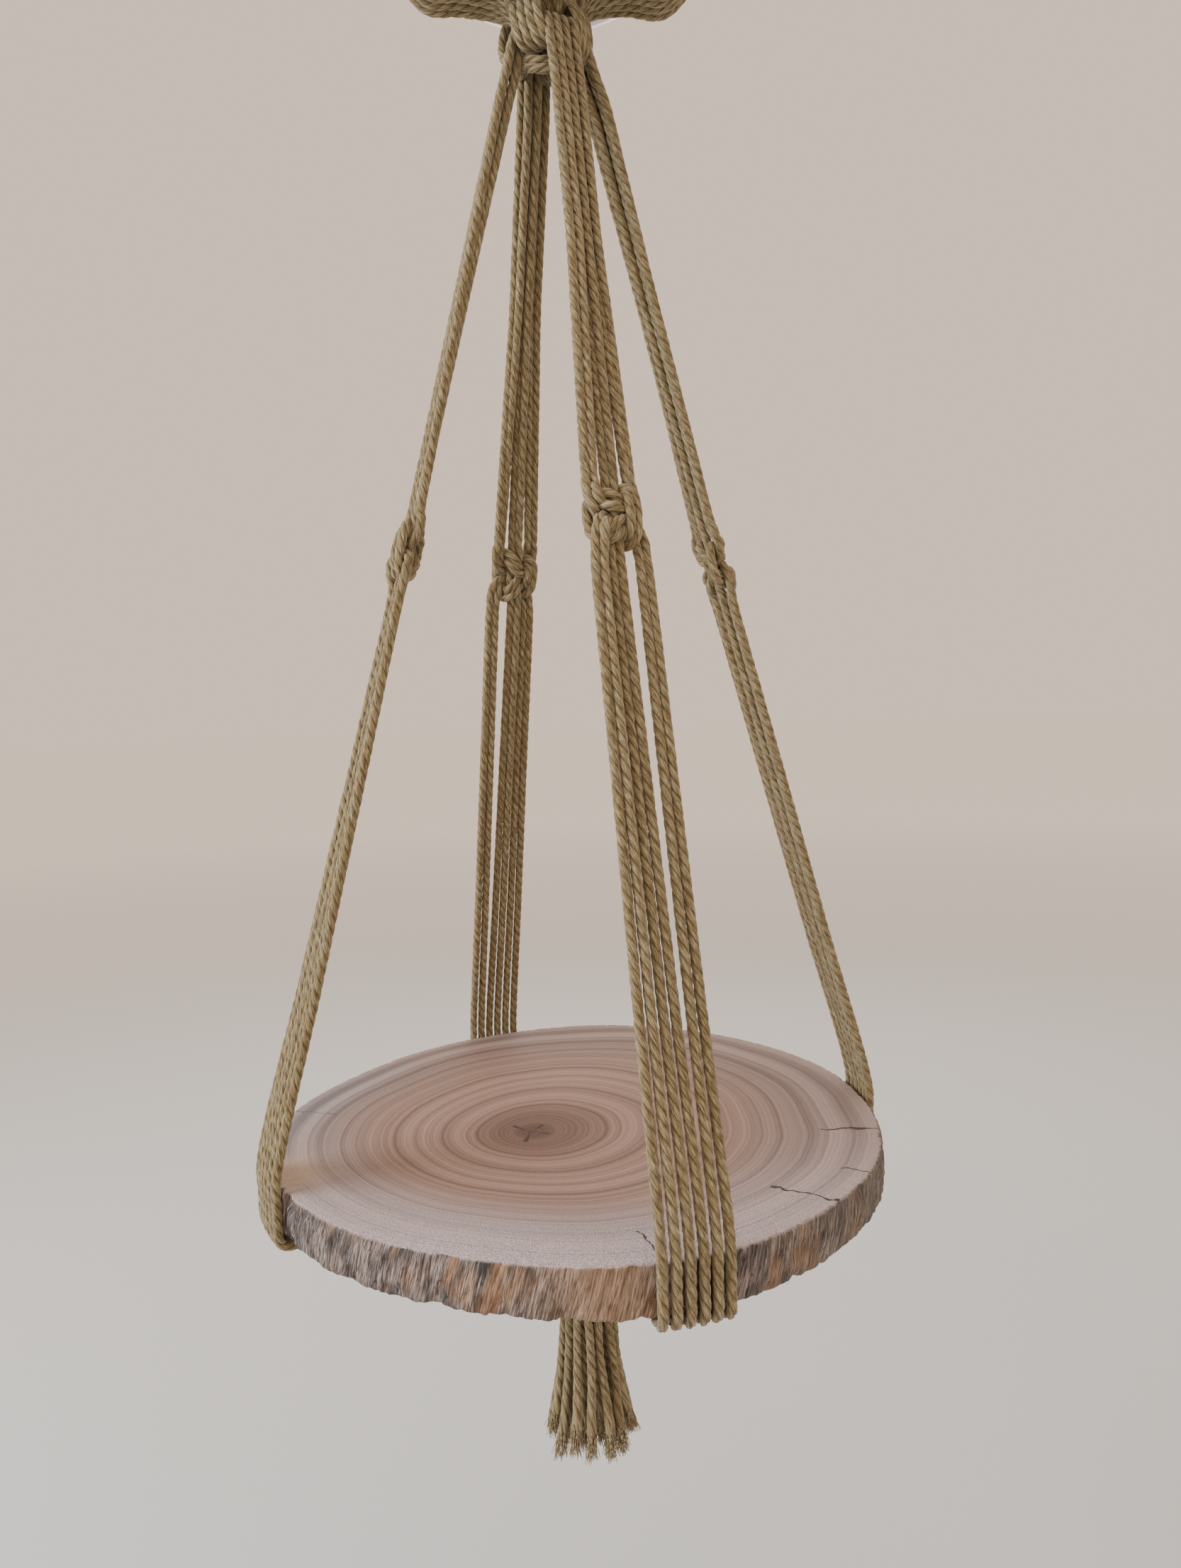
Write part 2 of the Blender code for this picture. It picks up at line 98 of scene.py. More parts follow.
def linked(name, mesh):
    made = bpy.data.objects.new(name, mesh)
    bpy.context.scene.collection.objects.link(made)
    return made


forward = Vector((math.sin(CAMERA_YAW) * math.cos(CAMERA_PITCH),
                  math.cos(CAMERA_YAW) * math.cos(CAMERA_PITCH), -math.sin(CAMERA_PITCH)))
level_right = Vector((math.cos(CAMERA_YAW), -math.sin(CAMERA_YAW), 0.0))
level_up = level_right.cross(forward)
right = level_right * math.cos(CAMERA_ROLL) + level_up * math.sin(CAMERA_ROLL)
up = level_up * math.cos(CAMERA_ROLL) - level_right * math.sin(CAMERA_ROLL)
lens = bpy.data.cameras.new("camera")
lens.sensor_fit = "HORIZONTAL"
lens.sensor_width = 36.0
lens.lens = CAMERA_LENS
lens.clip_start = 0.01
camera = linked("camera", lens)
camera.matrix_world = Matrix((
    (right.x, up.x, -forward.x, 0.0),
    (right.y, up.y, -forward.y, -CAMERA_BACK),
    (right.z, up.z, -forward.z, SLICE_TOP + CAMERA_RISE),
    (0.0, 0.0, 0.0, 1.0),
))
bpy.context.scene.camera = camera

world = bpy.data.worlds.new("studio")
world.use_nodes = True
world.node_tree.nodes["Background"].inputs["Color"].default_value = (1.0, 0.8, 0.635, 1.0)
bpy.context.scene.world = world

LAMPS = (
    # name, place, point it faces, width, power in watts, colour
    ("window_light", (-1.7, -0.45, -0.05), (0.0, 0.0, -0.75), 1.1, 50.0, (0.95, 0.99, 1.0)),
    ("room_light", (1.5, -1.2, -0.1), (0.0, 0.0, -0.75), 1.6, 9.0, (1.0, 0.9, 0.78)),
    ("back_light", (0.3, 1.7, 0.3), (0.0, 0.0, -0.8), 1.6, 14.0, (1.0, 0.98, 0.97)),
)
for lamp_name, place, target, width, watts, colour in LAMPS:
    lamp = bpy.data.lights.new(lamp_name, "AREA")
    lamp.shape = "SQUARE"
    lamp.size = width
    lamp.energy = watts
    lamp.color = colour
    holder = linked(lamp_name, lamp)
    holder.location = place
    holder.rotation_euler = (Vector(target) - Vector(place)).to_track_quat("-Z", "Y").to_euler()

floor_form = bmesh.new()
bmesh.ops.create_circle(floor_form, cap_ends=True, radius=FLOOR_RADIUS, segments=96)
bmesh.ops.translate(floor_form, verts=floor_form.verts, vec=(0.0, 0.0, FLOOR_HEIGHT))
floor_mesh = bpy.data.meshes.new("floor")
floor_form.to_mesh(floor_mesh)
floor_form.free()
floor = linked("floor", floor_mesh)
floor_finish, floor_tree, floor_shader = new_finish("floor_paint", {"Roughness": 0.9})
# The floor's colour is painted light: darker near the middle and brighter far out, where the lamps' light
# falls off, so the far floor meets the world's colour.
floor_place = put(floor_tree, "ShaderNodeTexCoord").outputs["Object"]
floor_place = put(floor_tree, "ShaderNodeMapping", {
    "Vector": floor_place, "Scale": (1 / FLOOR_NEAR, 1 / FLOOR_NEAR, 0.0)}).outputs[0]
nearness = put(floor_tree, "ShaderNodeTexGradient", {"Vector": floor_place},
               gradient_type="SPHERICAL").outputs["Fac"]
floor_painted_light = mixed(floor_tree, nearness, FLOOR_FAR_PAINTED_LIGHT, FLOOR_NEAR_PAINTED_SHADE)
floor_tree.links.new(floor_painted_light, floor_shader.inputs["Base Color"])
floor_mesh.materials.append(floor_finish)

# Wood slice
# One slice sawn across a trunk of about 300 mm with its bark on, bare wood. The saw has left fine
# chatter on its top, the pith is off centre, and the bark's edge is torn and stringy.
SLICE_THICKNESS = 0.022
SLICE_MEAN_RADIUS = 0.15
OUTLINE_WAVES = (
    # lobes, height as a share of the radius, azimuth of a peak
    (1, 0.0096, -38.9),
    (2, 0.0087, -86.2),
    (3, 0.0148, 38.3),
    (4, 0.0076, 12.2),
    (7, 0.0037, 12.2),
)
PITH = (-0.0254, -0.0216)
SLICE_STEPS = 760
TOP_RINGS = 46
EDGE_RINGS = 22
BASE_RINGS = 16
BARK_SLANT = 2.2
RIM_INSET = 0.0012
BASE_INSET = 0.003
CORNER_DEPTH = 0.0016
UNDER_DEPTH = 0.0015
TORN_FROM = 0.955
CHATTER_ROUND = 66.0
CHATTER_OUT = 1150.0
ZONES = {
    # azimuth of the middle and half width of each patch of wood or bark that differs
    "smoke": (-103.0, 24.0),
    "pale": (-8.0, 62.0),
    "ochre": (-67.0, 7.0),
    "tan": (3.0, 9.0),
    # The grey patch makes the bark on the right greyer and darker; the darkness is painted shade, away from
    # the light from the left.
    "grey": (62.0, 36.0),
}
CRACK_TAPER = 700.0
CRACKS = (
    # azimuth, distances from the pith at which it starts and ends, half width in degrees
    (12.0, 0.112, 0.136, 0.28),
    (45.0, 0.126, 0.164, 0.4),
    (58.0, 0.15, 0.168, 0.3),
    (76.8, 0.142, 0.173, 0.55),
    (-97.0, 0.107, 0.136, 0.16),
    (150.0, -0.01, 0.011, 9.0),
    (-120.0, -0.01, 0.013, 7.0),
    (-20.0, -0.01, 0.012, 8.0),
    (62.0, -0.01, 0.01, 9.0),
)


def outward(azimuth):
    """Unit vector away from the middle; azimuths run from the front (-Y) towards +X, in degrees."""
    angle = math.radians(azimuth)
    return Vector((math.sin(angle), -math.cos(angle), 0.0))


def sideways(azimuth):
    angle = math.radians(azimuth)
    return Vector((math.cos(angle), math.sin(angle), 0.0))


def at(azimuth, radius, height, side=0.0):
    """The point at a radius and height on an azimuth, moved sideways from it."""
    return outward(azimuth) * radius + sideways(azimuth) * side + Vector((0.0, 0.0, height))


def slice_radius(azimuth):
    share = 1.0
    for lobes, height, peak in OUTLINE_WAVES:
        share += height * math.cos(lobes * math.radians(azimuth - peak))
    return SLICE_MEAN_RADIUS * share


def bump_at(azimuth, middle, spread):
    """One at an azimuth, falling to nought on both sides of it."""
    away = (azimuth - middle + 180.0) % 360.0 - 180.0
    return math.exp(-((away / spread) ** 2))


def bark_relief(azimuth, depth, radius):
    """How far the bark stands out of the outline at a depth under the top."""
    ring = sideways(azimuth + BARK_SLANT * depth / SLICE_THICKNESS) * radius
    plates = noise.noise(ring * 90.0 + Vector((0.0, 0.0, depth * 55.0)))
    ridges = noise.noise(ring * 420.0 + Vector((5.0, 0.0, depth * 70.0)))
    strings = noise.noise(ring * 1050.0 + Vector((0.0, 9.0, depth * 120.0)))
    chips = max(0.0, noise.noise(ring * 150.0 + Vector((3.0, 3.0, depth * 130.0))) - 0.18)
    swell = math.sin(math.pi * min(1.0, max(0.0, depth / SLICE_THICKNESS)))
    return 0.0005 * plates + 0.0007 * ridges + 0.0005 * strings - 0.0035 * chips + 0.0007 * swell - 0.0001


def ragged_at(azimuth, seed):
    """How far the torn edge of the bark runs up or down at an azimuth."""
    ring = sideways(azimuth) + Vector((0.0, 0.0, seed))
    return (0.0012 * noise.noise(ring * 11.0) + 0.0009 * noise.noise(ring * 34.0)
            + 0.0008 * noise.noise(ring * 90.0))


slice_form = bmesh.new()
layers = {name: slice_form.verts.layers.float.new(name) for name in ("ring", "bark", *ZONES)}
for name in ("around", "polar"):
    layers[name] = slice_form.verts.layers.float_vector.new(name)


def slice_vertex(point, share, bark, azimuth):
    """A point of the slice, at a share of the way from the pith to the bark, with its zones."""
    made = slice_form.verts.new(point)
    values = {name: bump_at(azimuth, *zone) for name, zone in ZONES.items()}
    values["smoke"] *= math.exp(-((share - 0.93) / 0.13) ** 2)
    values["ochre"] *= math.exp(-((share - 0.96) / 0.12) ** 2)
    values["pale"] *= min(1.0, max(0.0, (share - 0.6) / 0.34))
    values["ring"] = share
    values["bark"] = bark
    turn = azimuth + BARK_SLANT * (SLICE_TOP - point.z) / SLICE_THICKNESS
    values["around"] = sideways(turn) * SLICE_MEAN_RADIUS + Vector((0.0, 0.0, point.z))
    away = math.hypot(point.x - PITH[0], point.y - PITH[1])
    values["polar"] = sideways(azimuth) * CHATTER_ROUND + Vector((0.0, 0.0, away * CHATTER_OUT))
    for name, value in values.items():
        made[layers[name]] = value
    return made


def skinned(name, form, rings, middles):
    """A smooth closed object over rings of points, closed at each end on a middle point."""
    for upper, lower in zip(rings, rings[1:]):
        for step in range(len(upper)):
            after = (step + 1) % len(upper)
            form.faces.new((upper[step], lower[step], lower[after], upper[after]))
    for ring, middle in zip((rings[0], rings[-1]), middles):
        for step in range(len(ring)):
            form.faces.new((ring[step], ring[(step + 1) % len(ring)], middle))
    bmesh.ops.recalc_face_normals(form, faces=form.faces)
    for face in form.faces:
        face.smooth = True
    mesh = bpy.data.meshes.new(name)
    form.to_mesh(mesh)
    form.free()
    return linked(name, mesh)


slice_rows = []
azimuths = [360.0 * step / SLICE_STEPS for step in range(SLICE_STEPS)]
pith_point = Vector((PITH[0], PITH[1], SLICE_TOP))
thickness = Vector((0.0, 0.0, SLICE_THICKNESS))
for row in range(1, TOP_RINGS + 1):
    share = 1.0 - (1.0 - row / TOP_RINGS) ** 1.25
    line = []
    for azimuth in azimuths:
        edge_point = at(azimuth, slice_radius(azimuth) - RIM_INSET, SLICE_TOP)
        point = pith_point.lerp(edge_point, share)
        wave = noise.noise(point * 24.0) * 0.0005 * share
        torn = max(0.0, share - TORN_FROM) / (1.0 - TORN_FROM)
        spike = noise.noise(sideways(azimuth) * 95.0)
        point.z += wave - 0.0009 * torn * abs(spike)
        point += outward(azimuth) * torn * spike * 0.0012
        line.append(slice_vertex(point, share, 0.0, azimuth))
    slice_rows.append(line)
for row in range(1, EDGE_RINGS + 1):
    depth = SLICE_THICKNESS * row / EDGE_RINGS
    line = []
    for azimuth in azimuths:
        radius = slice_radius(azimuth)
        corner = max(0.0, 1.0 - depth / CORNER_DEPTH)
        under = max(0.0, 1.0 - (SLICE_THICKNESS - depth) / UNDER_DEPTH)
        past = bark_relief(azimuth, depth, radius) - 0.0009 * corner ** 2 - 0.0016 * under
        height = SLICE_TOP - depth + (depth / SLICE_THICKNESS) ** 3 * ragged_at(azimuth, 2.0)
        height += 0.35 * (1.0 - depth / SLICE_THICKNESS) ** 4 * ragged_at(azimuth, 6.0)
        line.append(slice_vertex(at(azimuth, radius + past, height), 1.0, min(1.0, depth / 0.0008), azimuth))
    slice_rows.append(line)
for row in range(1, BASE_RINGS):
    share = 1.0 - row / BASE_RINGS
    line = []
    for azimuth in azimuths:
        edge_point = at(azimuth, slice_radius(azimuth) - BASE_INSET, SLICE_TOP)
        line.append(slice_vertex(pith_point.lerp(edge_point, share) - thickness, share, 0.0, azimuth))
    slice_rows.append(line)
middles = [slice_vertex(point, 0.0, 0.0, 0.0) for point in (pith_point, pith_point - thickness)]
wood_slice = skinned("wood_slice", slice_form, slice_rows, middles)

wood_finish, tree, shader = new_finish("sawn_wood", {"Roughness": 0.72, "Specular IOR Level": 0.25})


def product(first, second):
    return calc(tree, "MULTIPLY", first, second)


def painted(name, output="Fac"):
    """What the mesh carries under a name."""
    return put(tree, "ShaderNodeAttribute", attribute_name=name).outputs[output]


def speckle(where, scale, detail, roughness=0.5):
    """Soft noise over a place."""
    return put(tree, "ShaderNodeTexNoise", {"Vector": where, "Scale": scale, "Detail": detail,
                                            "Roughness": roughness}).outputs["Fac"]


def stretched(where, along, across=1.0):
    """A place whose measure along the third axis counts for less."""
    return put(tree, "ShaderNodeMapping", {"Vector": where, "Scale": (across, across, along)}).outputs[0]


def bands(count, detail, roughness):
    """Rings as noise along the way from the pith to the bark."""
    where = product(year, count)
    return put(tree, "ShaderNodeTexNoise", {"W": where, "Scale": 1.0, "Detail": detail,
                                            "Roughness": roughness}, noise_dimensions="1D").outputs["Fac"]


def ramp(factor, stops):
    """A colour ramp; stops are (place, colour or grey)."""
    made = put(tree, "ShaderNodeValToRGB", {0: factor})
    while len(made.color_ramp.elements) < len(stops):
        made.color_ramp.elements.new(0.5)
    for element, (position, colour) in zip(made.color_ramp.elements, stops):
        element.position = position
        element.color = (*np.broadcast_to(colour, 3), 1.0)
    return made.outputs["Color"]


def tinted(share, colour, factor, stops):
    """A colour multiplied by a share of a ramp's colours."""
    return mixed(tree, share, colour, ramp(factor, stops), "MULTIPLY")


def patched(patch, share, colour, over):
    """A colour with another laid over a share of a patch."""
    return mixed(tree, product(patch, share), colour, over)


def coated(colour, height, strength, distance):
    """Gives the shader in hand its colour and its relief."""
    relief = put(tree, "ShaderNodeBump", {"Height": height, "Strength": strength, "Distance": distance})
    tree.links.new(colour, shader.inputs["Base Color"])
    tree.links.new(relief.outputs[0], shader.inputs["Normal"])


place = put(tree, "ShaderNodeTexCoord").outputs["Object"]
share = painted("ring")
pale = painted("pale")
around = painted("around", "Vector")
polar = painted("polar", "Vector")
year = calc(tree, "MULTIPLY_ADD", speckle(place, 11.0, 2.0), 0.05, share)
wide_bands = bands(15.0, 3.0, 0.6)
fine_bands = bands(95.0, 2.0, 0.55)
wood = ramp(share, (
    (0.0, (0.085, 0.05, 0.04)),
    (0.1, (0.165, 0.1, 0.08)),
    (0.3, (0.3, 0.195, 0.16)),
    (0.6, (0.26, 0.17, 0.138)),
    (0.8, (0.235, 0.165, 0.145)),
    (1.0, (0.29, 0.22, 0.2)),
))
wood = tinted(0.85, wood, wide_bands, (
    (0.34, (0.6, 0.55, 0.54)),
    (0.5, (0.95, 0.94, 0.93)),
    (0.64, 1.22),
))
wood = tinted(0.45, wood, fine_bands, ((0.38, (0.62, 0.58, 0.57)), (0.58, 1.08)))
lilac = ramp(fine_bands, ((0.32, (0.34, 0.285, 0.315)), (0.62, (0.56, 0.5, 0.545))))
wood = patched(pale, 0.62, wood, lilac)
smoky = ramp(wide_bands, ((0.32, (0.12, 0.105, 0.115)), (0.68, (0.3, 0.255, 0.255))))
wood = patched(painted("smoke"), 0.95, wood, smoky)
wood = patched(painted("ochre"), 0.75, wood, (0.46, 0.3, 0.15, 1.0))
mottle = speckle(place, 900.0, 2.0)
wood = tinted(0.22, wood, mottle, ((0.3, (0.55, 0.53, 0.52)), (0.62, 1.1)))
saw_marks = put(tree, "ShaderNodeTexVoronoi", {"Vector": stretched(polar, 1.0, 1.6),
                                               "Scale": 1.25}).outputs["Distance"]
saw_marks = ramp(saw_marks, ((0.1, 0.0), (0.55, 1.0)))
sawn = mixed(tree, saw_marks, (0.28, 0.225, 0.245, 1.0), (0.52, 0.445, 0.475, 1.0))
wood = patched(pale, 0.42, wood, sawn)
polar_parts = put(tree, "ShaderNodeSeparateXYZ", {0: polar}).outputs
bearing = calc(tree, "ARCTAN2", polar_parts[1], polar_parts[0])
bearing = product(bearing, math.degrees(1.0))
wander = calc(tree, "MULTIPLY_ADD", speckle(place, 120.0, 3.0), 4.0, -2.0)
bearing = calc(tree, "ADD", bearing, wander)
distance = product(polar_parts[2], 1.0 / CHATTER_OUT)
cracked = 0.0
for crack_azimuth, inner, outer, width in CRACKS:
    beside = calc(tree, "ABSOLUTE", calc(tree, "SUBTRACT", bearing, crack_azimuth))
    beside = calc(tree, "SUBTRACT", 1.0, calc(tree, "DIVIDE", beside, width))
    inside = product(calc(tree, "SUBTRACT", distance, inner), CRACK_TAPER)
    outside = product(calc(tree, "SUBTRACT", outer, distance), CRACK_TAPER)
    beside = calc(tree, "MINIMUM", beside, calc(tree, "MINIMUM", inside, outside))
    cracked = calc(tree, "MAXIMUM", cracked, beside)
cracked = put(tree, "ShaderNodeMath", {0: cracked, 1: 1.6}, operation="MULTIPLY", use_clamp=True).outputs[0]
wood = mixed(tree, cracked, wood, (0.045, 0.03, 0.026, 1.0))

fibre = speckle(stretched(around, 0.07), 1500.0, 4.0, 0.7)
plates = stretched(around, 0.35)
rind = ramp(fibre, (
    (0.34, (0.028, 0.023, 0.022)),
    (0.45, (0.118, 0.096, 0.09)),
    (0.55, (0.245, 0.208, 0.198)),
    (0.68, (0.49, 0.432, 0.415)),
))
rind = tinted(0.85, rind, speckle(plates, 170.0, 4.0), (
    (0.42, (0.42, 0.41, 0.43)),
    (0.56, (1.25, 1.18, 1.12)),
))
split = calc(tree, "SUBTRACT", speckle(stretched(around, 0.16), 330.0, 2.0), 0.5)
split = calc(tree, "ABSOLUTE", split)
rind = tinted(0.9, rind, split, ((0.004, (0.22, 0.2, 0.19)), (0.022, 1.0)))
rust = ramp(speckle(plates, 75.0, 3.0), ((0.52, 0.0), (0.66, 0.75)))
for patch, strength, dark, light in (
    (rust, 1.0, (0.12, 0.055, 0.025), (0.44, 0.26, 0.15)),
    (painted("tan"), 0.75, (0.15, 0.08, 0.042), (0.48, 0.32, 0.205)),
    # The grey patch paints shade onto the right side of the bark, away from the light from the left, as well
    # as a greyer tone.
    (painted("grey"), 0.7, (0.04, 0.035, 0.03), (0.21, 0.185, 0.16)),
):
    rind = patched(patch, strength, rind, ramp(fibre, ((0.36, dark), (0.64, light))))
bark = painted("bark")
surface = mixed(tree, bark, wood, rind)
relief = product(saw_marks, pale)
relief = calc(tree, "MULTIPLY_ADD", mottle, 0.35, relief)
relief = put(tree, "ShaderNodeMix", {0: bark, 2: relief, 3: product(fibre, 2.2)}).outputs[0]
coated(surface, relief, 0.7, 0.0005)
wood_slice.data.materials.append(wood_finish)
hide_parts("slice")
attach(wood_slice, "root")

# Legs
# Four legs of six three-ply cords each. A leg comes over the gathering knot, is tied halfway by one
# square knot, lies flat in a band round the slice's edge, and runs in under it to the lower knot.
CORD = 0.0043
CORD_RADIUS = CORD / 2
CORD_SPACING = 0.0048
CORD_GIRTH = 1.06
CORD_LAY = 0.0176
PLY_POINTS = 15
FIBRE_SLIP = 0.5
GROOVE_DEPTH = 0.3
PLY_BUNCHING = -0.18
FUZZ_LENGTH = 0.0016
FUZZ_BEND = 0.6
FUZZ_ROOT_RADIUS = 0.000034
FUZZ_TIP_RADIUS = 0.000008
RING_PITCH = 0.0018
PATH_PITCH = 0.0015
GAP = 0.0003
BARK_BULGE = 0.0013
LEGS = (
    # name, azimuth, top azimuth, knot height over the slice, cradle azimuth
    ("front", 15.5, 24.0, 0.29, 12.0),
    ("right", 98.5, 107.0, 0.279, 92.0),
    ("back", 201.4, 200.5, 0.284, 194.0),
    ("left", -65.0, -78.0, 0.284, -80.0),
)
LEG_START_RADIUS = 0.0195
LEG_START_HEIGHT = 0.498
LEG_TOP = (
    # sideways and outward place of each cord where the leg comes over the knot
    (-0.0064, 0.0),
    (-0.0024, 0.0002),
    (-0.0004, -0.004),
    (0.0018, 0.0),
    (0.0042, -0.004),
    (0.0064, 0.0001),
)
LEG_OVER = (
    # height over the slice, radius
    (0.5175, 0.004),
    (0.525, 0.0068),
    (0.5285, 0.011),
    (0.527, 0.0148),
    (0.52, 0.017),
    (0.51, 0.0188),
    (0.498, 0.0214),
)
LEG_TUCK_RADIUS = 0.014
LEG_LEAVES_FROM = 0.523
LEG_LEAVES_OVER = 0.025
LEG_OUT = {
    # how much farther out each leg lies over the knot, and where it leaves the knot
    "front": (0.003, 0.0),
    "right": (0.0025, 0.004),
    "back": (0.0, 0.0),
    "left": (0.0, 0.0018),
}
BAND_SPACING = 0.00535
STRAIGHT_POINTS = 2
WAIST_SHARE = 0.42
CORNER_RADIUS = 0.0048
CORNER_STEPS = 6
FAN_STEP = 13.2
FAN_PATH = (
    # radius, drop
    (0.0245, 0.0),
    (0.02, 0.0028),
    (0.0135, 0.012),
)
SQUARE_KNOT = (
    # six cords from left to right: sideways, outward and upward places, in cord widths
    ((-2.45, 0.1, 4.9), (-2.49, 0.25, 3.4), (-2.48, 0.35, 2.4), (-2.16, 0.5, 1.3),
     (-1.45, 0.4, 0.45), (-0.75, -0.15, 0.1), (-0.1, -0.9, 0.5), (0.55, -0.95, 1.35),
     (0.95, -0.4, 2.2), (1.1, 0.45, 2.15), (1.17, 1.0, 1.4), (1.17, 1.15, 0.3),
     (1.12, 1.1, -0.85), (1.04, 0.7, -1.8), (0.95, -0.1, -2.3), (0.5, -0.85, -1.7),
     (-0.1, -0.95, -0.95), (-0.6, -0.35, -0.45), (-0.85, 0.4, -0.25), (-1.45, 0.85, -0.7),
     (-1.85, 0.75, -1.3), (-2.1, 0.6, -2.1), (-2.3, 0.35, -3.4), (-2.42, 0.15, -4.6)),
    ((-1.72, 0.2, 4.9), (-1.8, 0.2, 3.4), (-1.78, 0.4, 2.5), (-1.5, 0.6, 1.7),
     (-1.05, 0.45, 0.85), (-0.6, -0.15, 0.45), (-0.05, -0.9, 1.2), (0.55, -1.1, 2.2),
     (1.05, -0.6, 2.8), (1.5, 0.1, 2.85), (1.95, 0.7, 2.4), (2.25, 1.0, 1.55),
     (2.3, 1.1, 0.3), (2.1, 1.05, -1.0), (1.75, 0.65, -2.1), (1.3, -0.15, -2.65),
     (0.6, -0.9, -2.4), (-0.05, -1.0, -1.7), (-0.55, -0.35, -0.95), (-0.75, 0.45, -0.55),
     (-1.05, 0.95, -1.1), (-1.28, 0.85, -2.0), (-1.48, 0.6, -3.1), (-1.62, 0.35, -4.6)),
    ((-0.35, -0.15, 4.6), (-0.38, 0.0, 2.4), (-0.42, 0.0, 0.0), (-0.5, 0.0, -2.4),
     (-0.56, -0.15, -4.4)),
    ((0.47, 0.1, 4.6), (0.45, 0.0, 2.4), (0.4, 0.0, 0.0), (0.28, 0.0, -2.4), (0.25, 0.1, -4.4)),
    ((1.88, 0.05, 4.6), (1.95, 0.05, 3.4), (2.02, -0.1, 2.5), (1.9, -0.15, 1.75),
     (1.4, 0.2, 1.35), (0.65, 0.85, 1.45), (-0.1, 1.02, 1.68), (-0.85, 0.85, 1.88),
     (-1.5, 0.15, 2.15), (-2.0, -0.6, 2.2), (-2.3, -1.0, 1.5), (-2.32, -1.1, 0.4),
     (-2.15, -1.05, -0.9), (-1.7, -0.6, -2.0), (-1.0, 0.2, -2.45), (-0.45, 0.85, -2.1),
     (0.1, 1.0, -1.6), (0.7, 0.8, -1.2), (1.4, 0.2, -1.2), (2.0, 0.0, -1.65),
     (2.25, 0.05, -2.6), (2.33, 0.05, -3.6), (2.35, 0.05, -4.8)),
    ((2.41, -0.1, 4.6), (2.45, -0.25, 3.2), (2.5, -0.3, 2.2), (2.5, -0.25, 1.3),
     (2.2, -0.2, 0.45), (1.45, 0.1, 0.1), (0.65, 0.8, 0.35), (-0.15, 1.0, 0.62),
     (-0.9, 0.85, 0.85), (-1.35, 0.15, 1.15), (-1.45, -0.6, 1.35), (-1.35, -1.05, 0.95),
     (-1.2, -1.15, 0.2), (-1.15, -1.05, -0.6), (-1.1, -0.5, -1.3), (-0.95, 0.25, -1.5),
     (-0.45, 0.9, -1.25), (0.2, 1.0, -0.8), (0.8, 0.7, -0.5), (1.5, 0.1, -0.5),
     (2.2, -0.1, -0.75), (2.7, -0.05, -1.4), (2.92, 0.0, -2.4), (3.05, 0.05, -3.6),
     (3.12, 0.15, -4.8)),
)
SETTLE_ROUNDS = 60
SETTLE_CLOSEST = 0.9


def length_along(line):
    step = np.linalg.norm(np.diff(line, axis=0), axis=1)
    return np.concatenate([[0.0], np.cumsum(step)])


def smooth_line(points, pitch):
    """A smooth line through points, as points at an even pitch."""
    given = np.array([tuple(p) for p in points], float)
    first = 2 * given[0] - given[1]
    last = 2 * given[-1] - given[-2]
    held = np.vstack([first, given, last])
    spans = np.sqrt(np.maximum(np.linalg.norm(np.diff(held, axis=0), axis=1), 1e-9))
    dense = []
    for k in range(1, len(held) - 2):
        t0, t1, t2 = 0.0, spans[k - 1], spans[k - 1] + spans[k]
        t3 = t2 + spans[k + 1]
        t = np.linspace(t1, t2, 24, endpoint=False)[:, None]
        a1 = (t1 - t) / (t1 - t0) * held[k - 1] + (t - t0) / (t1 - t0) * held[k]
        a2 = (t2 - t) / (t2 - t1) * held[k] + (t - t1) / (t2 - t1) * held[k + 1]
        a3 = (t3 - t) / (t3 - t2) * held[k + 1] + (t - t2) / (t3 - t2) * held[k + 2]
        b1 = (t2 - t) / (t2 - t0) * a1 + (t - t0) / (t2 - t0) * a2
        b2 = (t3 - t) / (t3 - t1) * a2 + (t - t1) / (t3 - t1) * a3
        dense.append((t2 - t) / (t2 - t1) * b1 + (t - t1) / (t2 - t1) * b2)
    dense.append(given[-1:])
    line = np.vstack(dense)
    along = length_along(line)
    count = max(2, int(round(along[-1] / pitch)) + 1)
    wanted = np.linspace(0.0, along[-1], count)
    return np.column_stack([np.interp(wanted, along, line[:, axis]) for axis in range(3)])


def settled(lines, closest, rounds, fixed=3):
    """Cords pulled smooth and pushed apart until they lie against each other."""
    starts = np.cumsum([0] + [len(line) for line in lines])
    points = np.vstack(lines)
    home = points.copy()
    owner = np.concatenate([np.full(len(line), k) for k, line in enumerate(lines)])
    order = np.concatenate([np.arange(len(line)) for line in lines])
    loose = np.ones(len(points), bool)
    for start, end in zip(starts, starts[1:]):
        loose[start:start + fixed] = False
        loose[end - fixed:end] = False
    first, second = np.triu_indices(len(points), 1)
    apart = (owner[first] != owner[second]) | (np.abs(order[first] - order[second]) > 4)
    first, second = first[apart], second[apart]
    inner = loose.copy()
    for turn in range(rounds):
        middle = points.copy()
        middle[1:-1] = 0.5 * (points[:-2] + points[2:])
        points[inner] += 0.22 * (middle[inner] - points[inner])
        points[inner] += 0.03 * (home[inner] - points[inner])
        for _ in range(3):
            gap = points[second] - points[first]
            length = np.linalg.norm(gap, axis=1)
            near = length < closest
            push = gap[near] * ((closest - length[near]) / np.maximum(length[near], 1e-6) * 0.3)[:, None]
            move = np.zeros_like(points)
            np.add.at(move, first[near], -push)
            np.add.at(move, second[near], push)
            points[loose] += move[loose]
    return [points[start:end] for start, end in zip(starts, starts[1:])]


def cord_place(index, pair_pitch, turn):
    """Sideways and outward place of one of a leg's six cords, in pairs that lie at a turn."""
    pair = index // 2 - 1
    member = 2 * (index % 2) - 1
    angle = math.radians(turn)
    side = pair * pair_pitch + member * CORD_SPACING / 2 * math.sin(angle)
    return side, member * CORD_SPACING / 2 * math.cos(angle)


